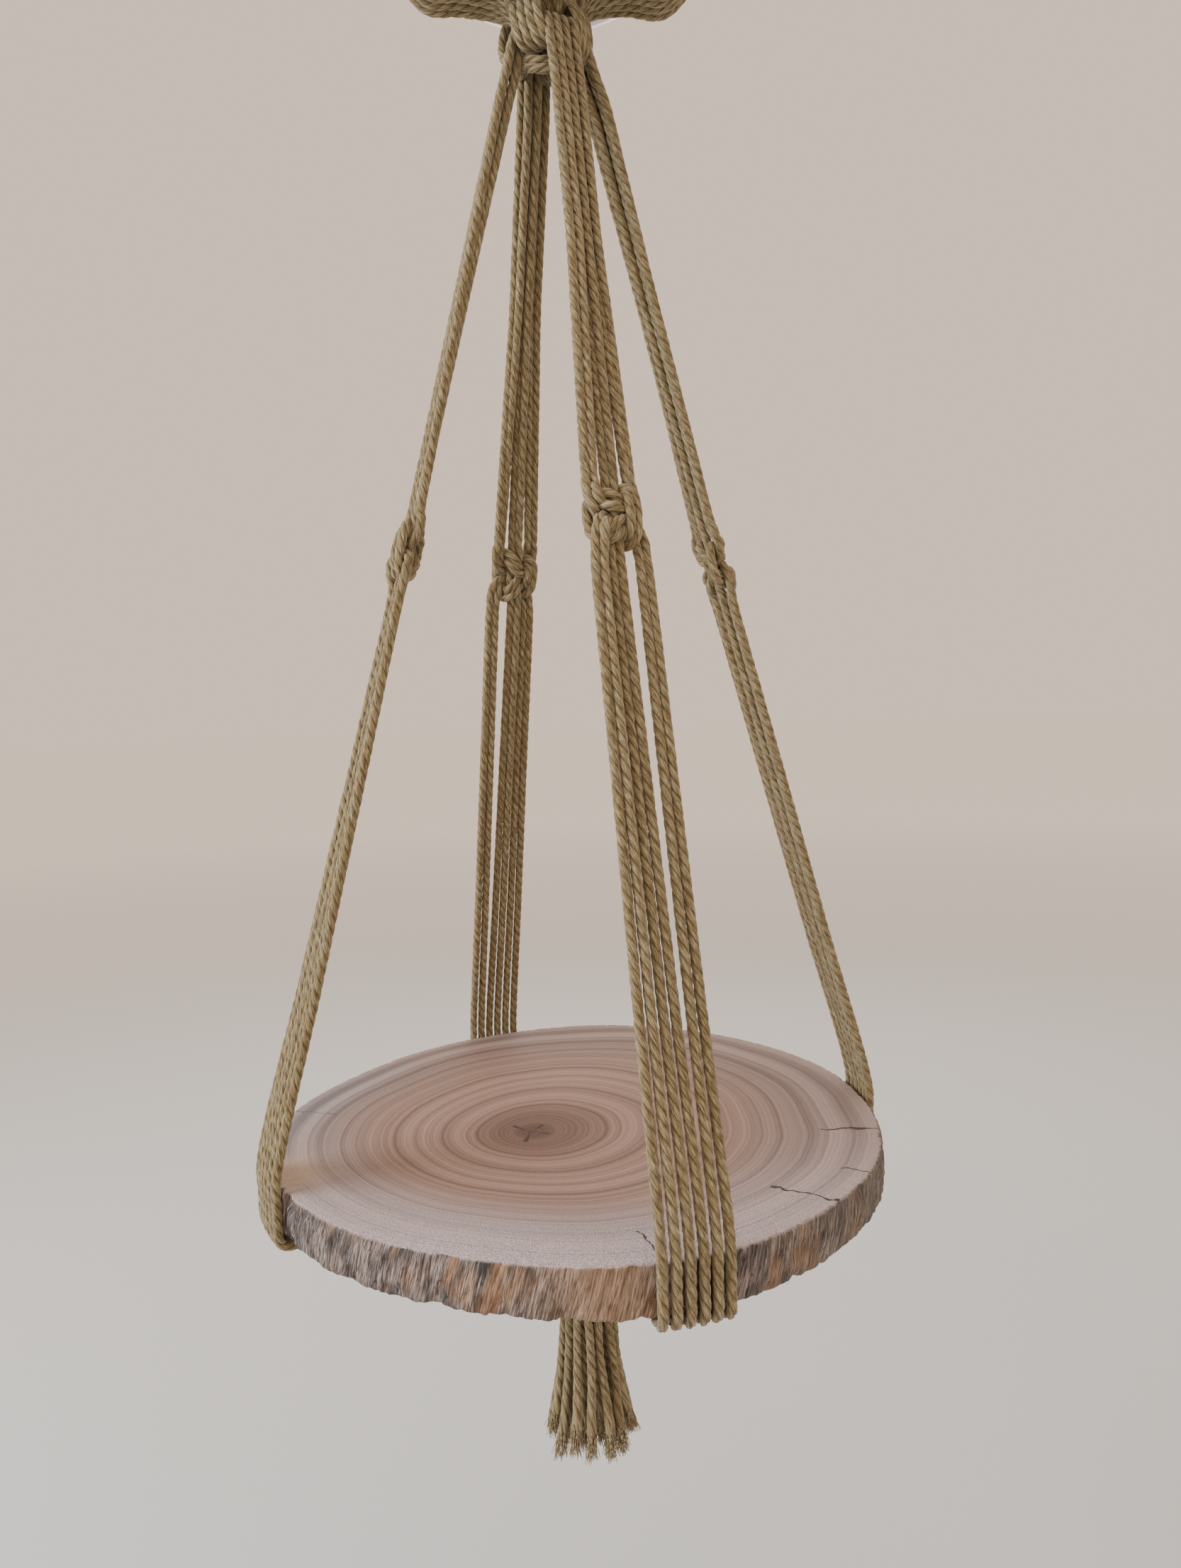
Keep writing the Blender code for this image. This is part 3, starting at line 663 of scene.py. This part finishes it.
def leg_frame(azimuth, top_azimuth, height, band_radius):
    """Middle, sideways and outward directions of a leg at a height over the slice."""
    top = at(top_azimuth, LEG_START_RADIUS, SLICE_TOP + LEG_START_HEIGHT)
    foot = at(azimuth, band_radius, SLICE_TOP)
    share = min(1.0, height / LEG_START_HEIGHT)
    facing = azimuth + (top_azimuth - azimuth) * share
    along = (foot - top).normalized()
    side_way = sideways(facing)
    side_way = (side_way - along * side_way.dot(along)).normalized()
    return foot.lerp(top, share), side_way, along.cross(side_way).normalized(), along


def fan_points(index, azimuth, height):
    fan = azimuth + (index - 2.5) * FAN_STEP
    return [at(fan, radius, height - drop) for radius, drop in FAN_PATH]


knot_lines = settled([smooth_line(line, 0.45) for line in SQUARE_KNOT], SETTLE_CLOSEST, SETTLE_ROUNDS)


def straight(first, last):
    """Points along the straight run between two others."""
    return [first.lerp(last, (k + 1) / (STRAIGHT_POINTS + 1)) for k in range(STRAIGHT_POINTS)]


def leg_path(index, azimuth, top_azimuth, knot_height, over_out, start_out):
    """One cord of a leg, from inside the upper knot to inside the lower one."""
    edge_azimuth = azimuth + math.degrees((index - 2.5) * BAND_SPACING / SLICE_MEAN_RADIUS)
    clear = BARK_BULGE + GAP + CORD_RADIUS
    side, depth = LEG_TOP[index]
    points = []
    for height, radius in LEG_OVER:
        tuck = min(1.0, radius / LEG_TUCK_RADIUS)
        leaving = min(1.0, max(0.0, LEG_LEAVES_FROM - height) / LEG_LEAVES_OVER)
        radius += over_out * tuck + start_out * leaving
        points.append(at(top_azimuth, radius + depth * tuck, SLICE_TOP + height + 0.6 * min(0.0, depth),
                         side * tuck))
    middle, side_way, out_way, along = leg_frame(azimuth, top_azimuth, knot_height,
                                                 slice_radius(azimuth) + clear)
    knotted = [middle + (side_way * place[0] + out_way * place[1] - along * place[2]) * CORD
               for place in knot_lines[index]]
    waist = points[-1].lerp(knotted[0], WAIST_SHARE)
    waist += side_way * (side - knot_lines[index][0][0] * CORD) * WAIST_SHARE * 0.9
    points += straight(points[-1], waist) + [waist] + straight(waist, knotted[0]) + knotted
    radius = slice_radius(edge_azimuth) + clear
    rim = at(edge_azimuth, radius, SLICE_TOP + 0.004)
    points += straight(points[-1], rim) + [rim]
    under = SLICE_TOP - SLICE_THICKNESS - 2 * GAP - CORD_RADIUS
    points.append(at(edge_azimuth, radius, SLICE_TOP - 0.008))
    for step in range(CORNER_STEPS + 1):
        angle = 0.5 * math.pi * step / CORNER_STEPS
        inset = CORNER_RADIUS * (1.0 - math.cos(angle))
        points.append(at(edge_azimuth, radius - inset, under + CORNER_RADIUS * (1.0 - math.sin(angle))))
    return smooth_line(points + fan_points(index, azimuth, under), PATH_PITCH)


cord_finish, tree, shader = new_finish("twisted_cord", {
    "Roughness": 0.92, "Specular IOR Level": 0.12, "Sheen Weight": 0.25, "Sheen Roughness": 0.55})
fibre_place = painted("fibre", "Vector")
groove = painted("groove")
tone = painted("tone")
thin = speckle(stretched(fibre_place, 0.09), 3000.0, 2.0, 0.7)
thick = speckle(stretched(fibre_place, 0.16), 1400.0, 1.0)
patch = speckle(fibre_place, 95.0, 2.0)
streak = put(tree, "ShaderNodeMix", {0: 0.35, 2: thin, 3: thick}).outputs[0]
khaki = ramp(streak, (
    (0.37, (0.11, 0.078, 0.036)),
    (0.46, (0.215, 0.168, 0.088)),
    (0.54, (0.31, 0.252, 0.145)),
    (0.64, (0.5, 0.43, 0.285)),
))
khaki = tinted(0.6, khaki, patch, ((0.36, (0.86, 0.76, 0.6)), (0.62, (1.04, 1.05, 1.05))))
khaki = tinted(1.0, khaki, tone, ((0.0, (0.86, 0.83, 0.76)), (1.0, (1.06, 1.07, 1.06))))
# The ply grooves are painted dark as well as cut in: painted shade in the creases between the plies.
khaki = patched(groove, 0.8, khaki, (0.075, 0.05, 0.02, 1.0))
coated(khaki, streak, 1.0, 0.0007)

fuzz_finish, tree, shader = new_finish("cord_fuzz", {
    "Roughness": 0.8, "Specular IOR Level": 0.2, "Base Color": (0.56, 0.47, 0.3, 1.0)})


def new_tree(name, inputs):
    """A Geometry Nodes tree that takes paths; returns it, its inputs and a maker of its nodes."""
    made = bpy.data.node_groups.new(name, "GeometryNodeTree")
    for label, kind in {"Paths": "Geometry", **inputs}.items():
        made.interface.new_socket(label, in_out="INPUT", socket_type="NodeSocket" + kind)
    made.interface.new_socket("Geometry", in_out="OUTPUT", socket_type="NodeSocketGeometry")

    def node(kind, values=None, **settings):
        return put(made, "GeometryNode" + kind, values, **settings).outputs[0]

    return made, made.nodes.new("NodeGroupInput").outputs, node


def cord_tree():
    """Geometry Nodes that lay a twisted three-ply cord, with loose fibres, along every path."""
    made, given, node = new_tree("lay_cord", {
        "Ring pitch": "Float", "Fuzz per square metre": "Float", "Seed": "Int"})

    def named(name):
        return node("InputNamedAttribute", {"Name": name}, data_type="FLOAT")

    def stored(geometry, name, value, kind="FLOAT"):
        return node("StoreNamedAttribute", {"Geometry": geometry, "Name": name, "Value": value},
                    data_type=kind, domain="POINT")

    def do(operation, *values):
        return calc(made, operation, *values)

    def times(first, second):
        return do("MULTIPLY", first, second)

    def spot(x, y=0.0, z=0.0):
        return put(made, "ShaderNodeCombineXYZ", {0: x, 1: y, 2: z}).outputs[0]

    def on_circle(angle, radius, z=0.0):
        return spot(times(do("COSINE", angle), radius), times(do("SINE", angle), radius), z)

    lines = node("MeshToCurve", {"Mesh": given["Paths"]})
    lines = node("CurveSplineType", {"Curve": lines}, spline_type="CATMULL_ROM")
    lines = node("ResampleCurve", {"Curve": lines, "Length": given["Ring pitch"]}, mode="LENGTH")
    tilt = times(named("run"), -2 * math.pi / CORD_LAY)
    lines = node("SetCurveTilt", {"Curve": lines, "Tilt": tilt})

    section = node("CurvePrimitiveCircle", {"Resolution": PLY_POINTS, "Radius": 1.0})
    round_angle = times(node("InputIndex"), 2 * math.pi / PLY_POINTS)
    ply_angle = times(round_angle, 3.0)
    ply_wave = do("MULTIPLY_ADD", do("COSINE", ply_angle), 0.5, 0.5)
    bunched = do("MULTIPLY_ADD", do("SINE", ply_angle), PLY_BUNCHING, round_angle)
    # This weight cuts the grooves between the plies, and the cord's material also uses it to paint shade
    # into them.
    section = stored(section, "groove", do("POWER", ply_wave, 3.0))
    section = stored(section, "round", bunched)
    share = do("SUBTRACT", 1.0, times(named("groove"), GROOVE_DEPTH))
    place = on_circle(named("round"), times(share, CORD_RADIUS * CORD_GIRTH))
    section = node("SetPosition", {"Geometry": section, "Position": place})

    skin = node("CurveToMesh", {"Curve": lines, "Profile Curve": section, "Scale": named("girth"),
                                "Fill Caps": True})
    lean = do("MULTIPLY_ADD", tilt, FIBRE_SLIP, named("round"))
    place = on_circle(lean, CORD_RADIUS, do("MULTIPLY_ADD", named("tone"), 3.0, named("run")))
    skin = stored(skin, "fibre", place, "FLOAT_VECTOR")
    skin = node("SetShadeSmooth", {"Geometry": skin})
    skin = node("SetMaterial", {"Geometry": skin, "Material": cord_finish})

    spread = put(made, "GeometryNodeDistributePointsOnFaces", {
        "Mesh": skin, "Density": given["Fuzz per square metre"], "Seed": given["Seed"]}).outputs
    hair = node("MeshCone", {"Vertices": 3, "Side Segments": 2, "Radius Top": FUZZ_TIP_RADIUS,
                             "Radius Bottom": FUZZ_ROOT_RADIUS, "Depth": FUZZ_LENGTH}, fill_type="NONE")
    rise = put(made, "ShaderNodeSeparateXYZ", {0: node("InputPosition")}).outputs[2]
    bend = times(times(rise, rise), FUZZ_BEND / FUZZ_LENGTH)
    hair = node("SetPosition", {"Geometry": hair, "Offset": spot(bend)})
    swing = put(made, "FunctionNodeRandomValue", {
        "Min": (-1.25, -1.25, -3.1), "Max": (1.25, 1.25, 3.1), "Seed": given["Seed"]},
        data_type="FLOAT_VECTOR").outputs[0]
    swing = put(made, "FunctionNodeEulerToRotation", {0: swing}).outputs[0]
    swing = put(made, "FunctionNodeRotateRotation", {
        "Rotation": spread["Rotation"], "Rotate By": swing}, rotation_space="LOCAL").outputs[0]
    length = put(made, "FunctionNodeRandomValue", {"Min_001": 0.35, "Max_001": 1.3, "Seed": given["Seed"]},
                 data_type="FLOAT").outputs[1]
    hairs = node("InstanceOnPoints", {"Points": spread["Points"], "Instance": hair, "Rotation": swing,
                                      "Scale": length})
    hairs = node("RealizeInstances", {"Geometry": hairs})
    hairs = node("SetMaterial", {"Geometry": hairs, "Material": fuzz_finish})
    both = put(made, "GeometryNodeJoinGeometry")
    made.links.new(skin, both.inputs[0])
    made.links.new(hairs, both.inputs[0])
    made.links.new(both.outputs[0], made.nodes.new("NodeGroupOutput").inputs[0])
    return made


lay_cord = cord_tree()


def laid(name, lines, values, tree, settings):
    """The mesh that a tree with settings lays along lines of points, which carry named values."""
    points, edges = [], []
    for line in lines:
        first = len(points)
        points.extend(tuple(p) for p in line)
        edges.extend((first + k, first + k + 1) for k in range(len(line) - 1))
    mesh = bpy.data.meshes.new(name + "_paths")
    mesh.from_pydata(points, edges, [])
    for label, numbers in values.items():
        mesh.attributes.new(label, "FLOAT", "POINT").data.foreach_set("value", np.concatenate(numbers))
    paths = linked(name + "_paths", mesh)
    change = paths.modifiers.new(tree.name, "NODES")
    change.node_group = tree
    for port in tree.interface.items_tree:
        if port.name in settings:
            change[port.identifier] = settings[port.name]
    graph = bpy.context.evaluated_depsgraph_get()
    made = linked(name, bpy.data.meshes.new_from_object(paths.evaluated_get(graph)))
    bpy.data.objects.remove(paths, do_unlink=True)
    return made


def cord_piece(name, lines, fuzz=60000.0, pitch=RING_PITCH, runs=None, girths=None):
    """One mesh of twisted cords along lines of points, in the finish of the cord."""
    shades = [(number * 0.618034 + 0.31) % 1.0 for number in range(len(lines))]
    values = {
        "run": runs or [length_along(line) + shade * CORD_LAY for line, shade in zip(lines, shades)],
        "girth": girths or [np.ones(len(line)) for line in lines],
        "tone": [np.full(len(line), shade) for line, shade in zip(lines, shades)],
    }
    return laid(name, lines, values, lay_cord, {
        "Ring pitch": pitch, "Fuzz per square metre": fuzz, "Seed": sum(len(line) for line in lines)})


for leg_name, azimuth, top_azimuth, knot_height, _ in LEGS:
    lines = [leg_path(index, azimuth, top_azimuth, knot_height, *LEG_OUT[leg_name]) for index in range(6)]
    leg = cord_piece("leg_cords_" + leg_name, lines)
    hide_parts("leg_" + leg_name)
    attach(leg, "root")

# Centre knot
# Under the bowl the four bundles of the cradle cross in a crown knot. Each bundle turns down over its
# side as a lobe of four cords and tucks in behind the next leg, over a band of two turns.
CENTRE_KNOT_HEIGHT = -0.361
BOTTOM_KNOT_DROP = 0.021
LOBE_CORDS = 4
LOBE_PITCH = 0.004
LOBE_PATH = (
    # radius, height over the knot's middle
    (0.005, 0.012),
    (0.0105, 0.016),
    (0.0155, 0.0158),
    (0.0188, 0.0118),
    (0.0198, 0.006),
    (0.0194, 0.0008),
    (0.0176, -0.0034),
    (0.0138, -0.0044),
    (0.0085, -0.0015),
)
LOBE_TUCK_RADIUS = 0.016
LOBE_LEAN = 0.0085
BAND_LOW_AZIMUTH = 5.0


def lobe_lines(height):
    """The lobes of a gathering knot, one between each leg and the next."""
    lines = []
    for number, leg in enumerate(LEGS):
        here = leg[2]
        after = LEGS[(number + 1) % len(LEGS)][2]
        middle = here + ((after - here) % 360.0) / 2
        for cord in range(LOBE_CORDS):
            side = (cord - (LOBE_CORDS - 1) / 2) * LOBE_PITCH
            points = []
            for step, (radius, rise) in enumerate(LOBE_PATH):
                tuck = min(1.0, radius / LOBE_TUCK_RADIUS)
                lean = LOBE_LEAN * (step / (len(LOBE_PATH) - 1) - 0.42)
                points.append(at(middle, radius - 6.0 * side * side, height + rise + 0.1 * side,
                                 side * tuck + lean))
            lines.append(smooth_line(points, PATH_PITCH))
    return lines


def band_line(height, radius, turns, start, pitch=CORD * 0.96, back_rise=0.0):
    """A band of cord wound round a bundle, its ends tucked in behind the leg at an azimuth."""
    points = [at(start, radius * 0.55, height), at(start, radius * 0.85, height)]
    for step in range(turns * 16 + 1):
        turn = start + step * 22.5
        rise = back_rise * (0.5 - 0.5 * math.cos(math.radians(turn - BAND_LOW_AZIMUTH)))
        points.append(at(turn, radius, height - pitch * step / 16 + rise))
    points.append(at(start, radius * 0.75, height - pitch * turns))
    return smooth_line(points, PATH_PITCH)


centre_lines = lobe_lines(CENTRE_KNOT_HEIGHT)
centre_lines.append(band_line(CENTRE_KNOT_HEIGHT - 0.0069, 0.0116, 2, 24.0, 0.0037, 0.012))
centre_knot = cord_piece("centre_knot_cords", centre_lines)
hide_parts("centre_knot")
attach(centre_knot, "root")

# Bowl
# A plain shallow bowl of pale glazed ceramic, about 210 mm across, that rests in the four bundles.
# Only its underside shows in the photograph.
BOWL_UNDERSIDE = -0.332
BOWL_MIDDLE = Vector((0.003, -0.012, 0.0))
BOWL_FOOT_RADIUS = 0.046
BOWL_RIM_RADIUS = 0.106
BOWL_HEIGHT = 0.05
BOWL_WALL = 0.004
BOWL_LIP = 0.003
BOWL_FLARE = 1.2
BOWL_INSET = 0.0022
BOWL_STEPS = 128
BOWL_ROWS = 14


def bowl_height(radius):
    climb = max(0.0, radius - BOWL_FOOT_RADIUS) / (BOWL_RIM_RADIUS - BOWL_FOOT_RADIUS)
    return BOWL_HEIGHT * climb ** BOWL_FLARE


def on_bowl(azimuth, radius, height, side=0.0):
    """A point placed from the middle of the bowl."""
    return at(azimuth, radius, height, side) + BOWL_MIDDLE


reach = BOWL_RIM_RADIUS - BOWL_FOOT_RADIUS
profile = [(0.01, 0.0), (0.03, 0.0), (0.043, 0.0002)]
for row in range(BOWL_ROWS + 1):
    radius = BOWL_FOOT_RADIUS + reach * row / BOWL_ROWS
    profile.append((radius, bowl_height(radius) + (0.0004 if row == 0 else 0.0)))
lip = BOWL_HEIGHT + BOWL_LIP
profile += [(BOWL_RIM_RADIUS + 0.0002, lip - 0.0016), (BOWL_RIM_RADIUS - 0.0006, lip - 0.0003),
            (BOWL_RIM_RADIUS - 0.0018, lip), (BOWL_RIM_RADIUS - 0.003, lip - 0.0004),
            (BOWL_RIM_RADIUS - 0.0038, lip - 0.0016)]
for row in reversed(range(BOWL_ROWS)):
    radius = BOWL_FOOT_RADIUS + reach * row / BOWL_ROWS
    profile.append((radius - BOWL_INSET, bowl_height(radius) + BOWL_WALL))
profile += [(0.028, BOWL_WALL - 0.0001), (0.01, BOWL_WALL - 0.0002)]
bowl_form = bmesh.new()
bowl_rows = []
for radius, height in profile:
    bowl_rows.append([
        bowl_form.verts.new(on_bowl(360.0 * step / BOWL_STEPS, radius, BOWL_UNDERSIDE + height))
        for step in range(BOWL_STEPS)])
middles = [bowl_form.verts.new(on_bowl(0.0, 0.0, BOWL_UNDERSIDE + height))
           for height in (0.0, BOWL_WALL - 0.0002)]
bowl = skinned("glazed_bowl", bowl_form, bowl_rows, middles)
glaze_finish, tree, shader = new_finish("pale_glaze", {
    "Roughness": 0.32, "Coat Weight": 0.35, "Coat Roughness": 0.12})
place = put(tree, "ShaderNodeTexCoord").outputs["Object"]
cloud = speckle(place, 26.0, 4.0)
speck = put(tree, "ShaderNodeTexVoronoi", {"Vector": place, "Scale": 420.0}).outputs["Distance"]
glaze = ramp(cloud, ((0.3, (0.7, 0.69, 0.68)), (0.7, (0.8, 0.79, 0.78))))
glaze = mixed(tree, ramp(speck, ((0.0, 0.35), (0.09, 0.0))), glaze,
              (0.42, 0.36, 0.3, 1.0))
coated(glaze, cloud, 0.25, 0.0004)
bowl.data.materials.append(glaze_finish)
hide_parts("bowl")
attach(bowl, "root")

# Cradle, wrap and hanging loop
# Twelve cords bend over to make the loop, and a wrap of the same cord binds them under it. Below it
# their twenty-four ends part into four flat bundles that hold the bowl and meet in the centre knot.
CRADLE_CLEARANCE = 0.0011
CRADLE_SHARES = (0.96, 0.77, 0.58)
CRADLE_BEND_RADIUS = 0.057
CRADLE_BEND_DROP = 0.007
CRADLE_INNER_RADIUS = 0.04
CRADLE_INNER_DROP = 0.0078
PAIR_PITCH_KNOT = 0.0085
SLING_TURN = 12.0
SLING_START_RADIUS = 0.0106
SLING_MIDDLE_RADIUS = 0.06
CRADLE_DRAWN = (
    # share of its width that each bundle keeps near the knot, how far it is drawn sideways there, and
    # how many degrees it turns on its way in under the bowl
    (1.0, 0.0, 0.0),
    (0.92, -0.008, 0.0),
    (0.8, -0.001, -12.0),
    (1.0, 0.003, 0.0),
)
CRADLE_END_RISE = 0.02
CRADLE_END = (
    # radius, drop, share of the band's width
    (0.025, 0.0005, 0.85),
    (0.017, 0.004, 0.55),
    (0.01, 0.009, 0.3),
)
WRAP_RADIUS = 0.019
WRAP_TURNS = 6
WRAP_TOP = -0.046
WRAP_BOTTOM = WRAP_TOP - WRAP_TURNS * CORD
LOOP_SIDE = (
    # height, half width of the loop's middle line
    (-0.056, 0.008),
    (-0.045, 0.0088),
    (-0.033, 0.0128),
    (-0.02, 0.0166),
    (-0.008, 0.0168),
    (0.0015, 0.0132),
    (0.0062, 0.007),
)
LOOP_BUNDLE_RADIUS = 0.0075
LOOP_RINGS = ((3, 0.0024), (9, 0.0056))


def sling_path(index, quarter, azimuth):
    """One cord of the cradle, from inside the wrap, down the bowl's side, to the centre knot."""
    top_azimuth = 90.0 * quarter + SLING_TURN
    side, depth = cord_place(index, CORD_SPACING, 0.0)
    points = [at(top_azimuth, SLING_START_RADIUS + depth, WRAP_BOTTOM + 0.012, side),
              at(top_azimuth, SLING_START_RADIUS + depth, WRAP_BOTTOM - 0.006, side)]
    offset = CRADLE_CLEARANCE + CORD_RADIUS
    rim_height = BOWL_UNDERSIDE + BOWL_HEIGHT
    side, depth = cord_place(index, PAIR_PITCH_KNOT, 50.0)
    points.append(at(azimuth, SLING_MIDDLE_RADIUS + depth, (WRAP_BOTTOM + rim_height) / 2, side))
    side = (index - 2.5) * BAND_SPACING
    points.append(on_bowl(azimuth, BOWL_RIM_RADIUS + offset, rim_height + BOWL_LIP, side))
    width, shift, turn = CRADLE_DRAWN[quarter]
    for step, share in enumerate(CRADLE_SHARES):
        here = azimuth + turn * (step + 1) / len(CRADLE_SHARES)
        radius = BOWL_FOOT_RADIUS + (BOWL_RIM_RADIUS - BOWL_FOOT_RADIUS) * share
        slope = math.atan2(bowl_height(radius) - bowl_height(radius - 0.001), 0.001)
        points.append(on_bowl(here, radius + offset * math.sin(slope),
                              BOWL_UNDERSIDE + bowl_height(radius) - offset * math.cos(slope), side))
    bend = CRADLE_BEND_RADIUS + outward(azimuth).dot(BOWL_MIDDLE)
    azimuth += turn
    points.append(at(azimuth, bend, BOWL_UNDERSIDE - CRADLE_BEND_DROP, side * width + shift * 0.7))
    points.append(at(azimuth, CRADLE_INNER_RADIUS, BOWL_UNDERSIDE - CRADLE_INNER_DROP, side * width + shift))
    for radius, drop, narrowed in CRADLE_END:
        points.append(at(azimuth, radius, CENTRE_KNOT_HEIGHT + CRADLE_END_RISE - drop,
                         (side * width + shift) * narrowed))
    return smooth_line(points, PATH_PITCH)


hanger_lines = []
for quarter, leg in enumerate(LEGS):
    hanger_lines += [sling_path(index, quarter, leg[4]) for index in range(6)]
rise = [Vector((-half, 0.0, height)) for height, half in LOOP_SIDE]
fall = [Vector((half, 0.0, height)) for height, half in reversed(LOOP_SIDE)]
loop_middle = smooth_line(rise + [Vector((0.0, 0.0, LOOP_BUNDLE_RADIUS))] + fall, PATH_PITCH)
loop_along = np.gradient(loop_middle, axis=0)
loop_along /= np.linalg.norm(loop_along, axis=1)[:, None]
loop_out = np.cross(loop_along, (0.0, 1.0, 0.0))
for count, ring_radius in LOOP_RINGS:
    for cord in range(count):
        turn = 2 * math.pi * cord / count + np.linspace(0.0, 1.6, len(loop_middle))
        ring = loop_out * np.cos(turn)[:, None] + np.array((0.0, 1.0, 0.0)) * np.sin(turn)[:, None]
        hanger_lines.append(loop_middle + ring * ring_radius)
wrap_points = [at(22.5 * step, WRAP_RADIUS - CORD_RADIUS, WRAP_TOP - CORD_RADIUS - CORD * 0.985 * step / 16)
               for step in range(WRAP_TURNS * 16 - 8)]
inside_top = at(0.0, 0.01, WRAP_TOP - CORD)
hanger_lines.append(smooth_line([inside_top] + wrap_points, PATH_PITCH))
hanger = cord_piece("hanger_cords", hanger_lines, fuzz=6000.0, pitch=0.0027)
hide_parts("hanger")
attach(hanger, "root")

# Lower knot and tassel
# The legs' cords meet under the slice in a second gathering knot and hang on as a tassel. Each cord
# end is cut unevenly, and its three plies have come apart into loose yarn at the tip.
TASSEL_END = SLICE_TOP - 0.177
TASSEL_RINGS = (
    # cords, radius at the knot, radius at the ends
    (2, 0.0026, 0.005),
    (8, 0.0076, 0.013),
    (14, 0.0124, 0.0215),
)
TASSEL_UNEVEN = 0.006
YARN_ROOT = 0.01296
SLACK_LENGTH = 0.03
YARNS_PER_CORD = 62
YARN_RADIUS = 0.00026
YARN_TAPER = 0.45
YARN_PITCH = 0.0036
bottom_height = SLICE_TOP - SLICE_THICKNESS - BOTTOM_KNOT_DROP
shaker = np.random.default_rng(20)
tassel_lines, tassel_runs, tassel_girths, yarn_lines = [], [], [], []
for ring_number, (count, start_radius, end_radius) in enumerate(TASSEL_RINGS):
    for number in range(count):
        azimuth = 360.0 * (number + 0.5 * ring_number) / count
        end = TASSEL_END + TASSEL_UNEVEN * (0.5 + 0.5 * math.sin(2.4 * number + 1.7 * ring_number))
        start = bottom_height - 0.006
        points = []
        for share in (0.0, 0.12, 0.35, 0.55, 0.7, 0.85, 1.0):
            flare = max(0.0, share - 0.4) / 0.6
            sway = 0.0007 * math.sin(9.0 * share + 2.1 * number)
            radius = start_radius + (end_radius - start_radius) * flare ** 1.6
            points.append(at(azimuth, radius + sway, start + (end - start) * share, sway))
        whole = smooth_line(points, PATH_PITCH)
        along = length_along(whole)
        left = along[-1] - along
        kept = left > YARN_ROOT
        line = whole[kept]
        slack = np.clip(1.0 - (left[kept] - YARN_ROOT) / SLACK_LENGTH, 0.0, 1.0)
        step = np.concatenate([[0.0], np.diff(along[kept])]) * (1.0 - 0.65 * slack)
        tassel_lines.append(line)
        tassel_runs.append(np.cumsum(step) + number * 0.0031)
        tassel_girths.append(1.0 + 0.22 * slack ** 1.5)
        tip_way = (whole[-1] - whole[-8]) / np.linalg.norm(whole[-1] - whole[-8])
        across = np.cross(tip_way, (0.3, 1.0, 0.1))
        across /= np.linalg.norm(across)
        beside = np.cross(tip_way, across)
        root = line[-4]
        for yarn in range(YARNS_PER_CORD):
            turn = shaker.uniform(0.0, 2 * math.pi)
            inner = CORD_RADIUS * 1.05 * math.sqrt(shaker.uniform(0.05, 1.0))
            spread = shaker.uniform(0.15, 0.95)
            length = left[kept][-4] * shaker.uniform(0.82, 1.04)
            wave = shaker.uniform(0.4, 1.2) * 0.001
            phase = shaker.uniform(0.0, 6.3)
            points = []
            for share in (0.0, 0.25, 0.5, 0.75, 1.0):
                angle = turn - 0.9 * share
                reach = inner * (1.0 + spread * share ** 1.4)
                bend = wave * math.sin(phase + 5.0 * share) * share
                points.append(root + tip_way * length * share
                              + across * (reach * math.cos(angle) + bend)
                              + beside * (reach * math.sin(angle) - bend))
            yarn_lines.append(smooth_line(points, YARN_PITCH))
tassel_lines += lobe_lines(bottom_height) + [band_line(bottom_height - 0.01, 0.0158, 2, 24.0)]
extra = len(tassel_lines) - len(tassel_runs)
for line in tassel_lines[-extra:]:
    tassel_runs.append(length_along(line))
    tassel_girths.append(np.ones(len(line)))
tassel = cord_piece("tassel_cords", tassel_lines, fuzz=50000.0, runs=tassel_runs, girths=tassel_girths)
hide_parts("tassel")
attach(tassel, "root")


def yarn_tree():
    """Geometry Nodes that lay a thin yarn, thinner towards its tip, along every path."""
    made, given, node = new_tree("lay_yarn", {})
    lines = node("MeshToCurve", {"Mesh": given["Paths"]})
    section = node("CurvePrimitiveCircle", {"Resolution": 4, "Radius": YARN_RADIUS})
    factor = put(made, "GeometryNodeSplineParameter").outputs["Factor"]
    taper = calc(made, "SUBTRACT", 1.0, calc(made, "MULTIPLY", factor, YARN_TAPER))
    skin = node("CurveToMesh", {"Curve": lines, "Profile Curve": section, "Scale": taper,
                                "Fill Caps": True})
    skin = node("SetShadeSmooth", {"Geometry": skin})
    skin = node("SetMaterial", {"Geometry": skin, "Material": yarn_finish})
    made.links.new(skin, made.nodes.new("NodeGroupOutput").inputs[0])
    return made


yarn_finish, tree, shader = new_finish("loose_yarn", {"Roughness": 0.9, "Specular IOR Level": 0.15})
place = put(tree, "ShaderNodeTexCoord").outputs["Object"]
thread = speckle(place, 700.0, 2.0)
tree.links.new(ramp(thread, ((0.34, (0.15, 0.112, 0.058)), (0.66, (0.44, 0.365, 0.235)))),
               shader.inputs["Base Color"])
fray = laid("tassel_fray", yarn_lines, {}, yarn_tree(), {})
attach(fray, "root")
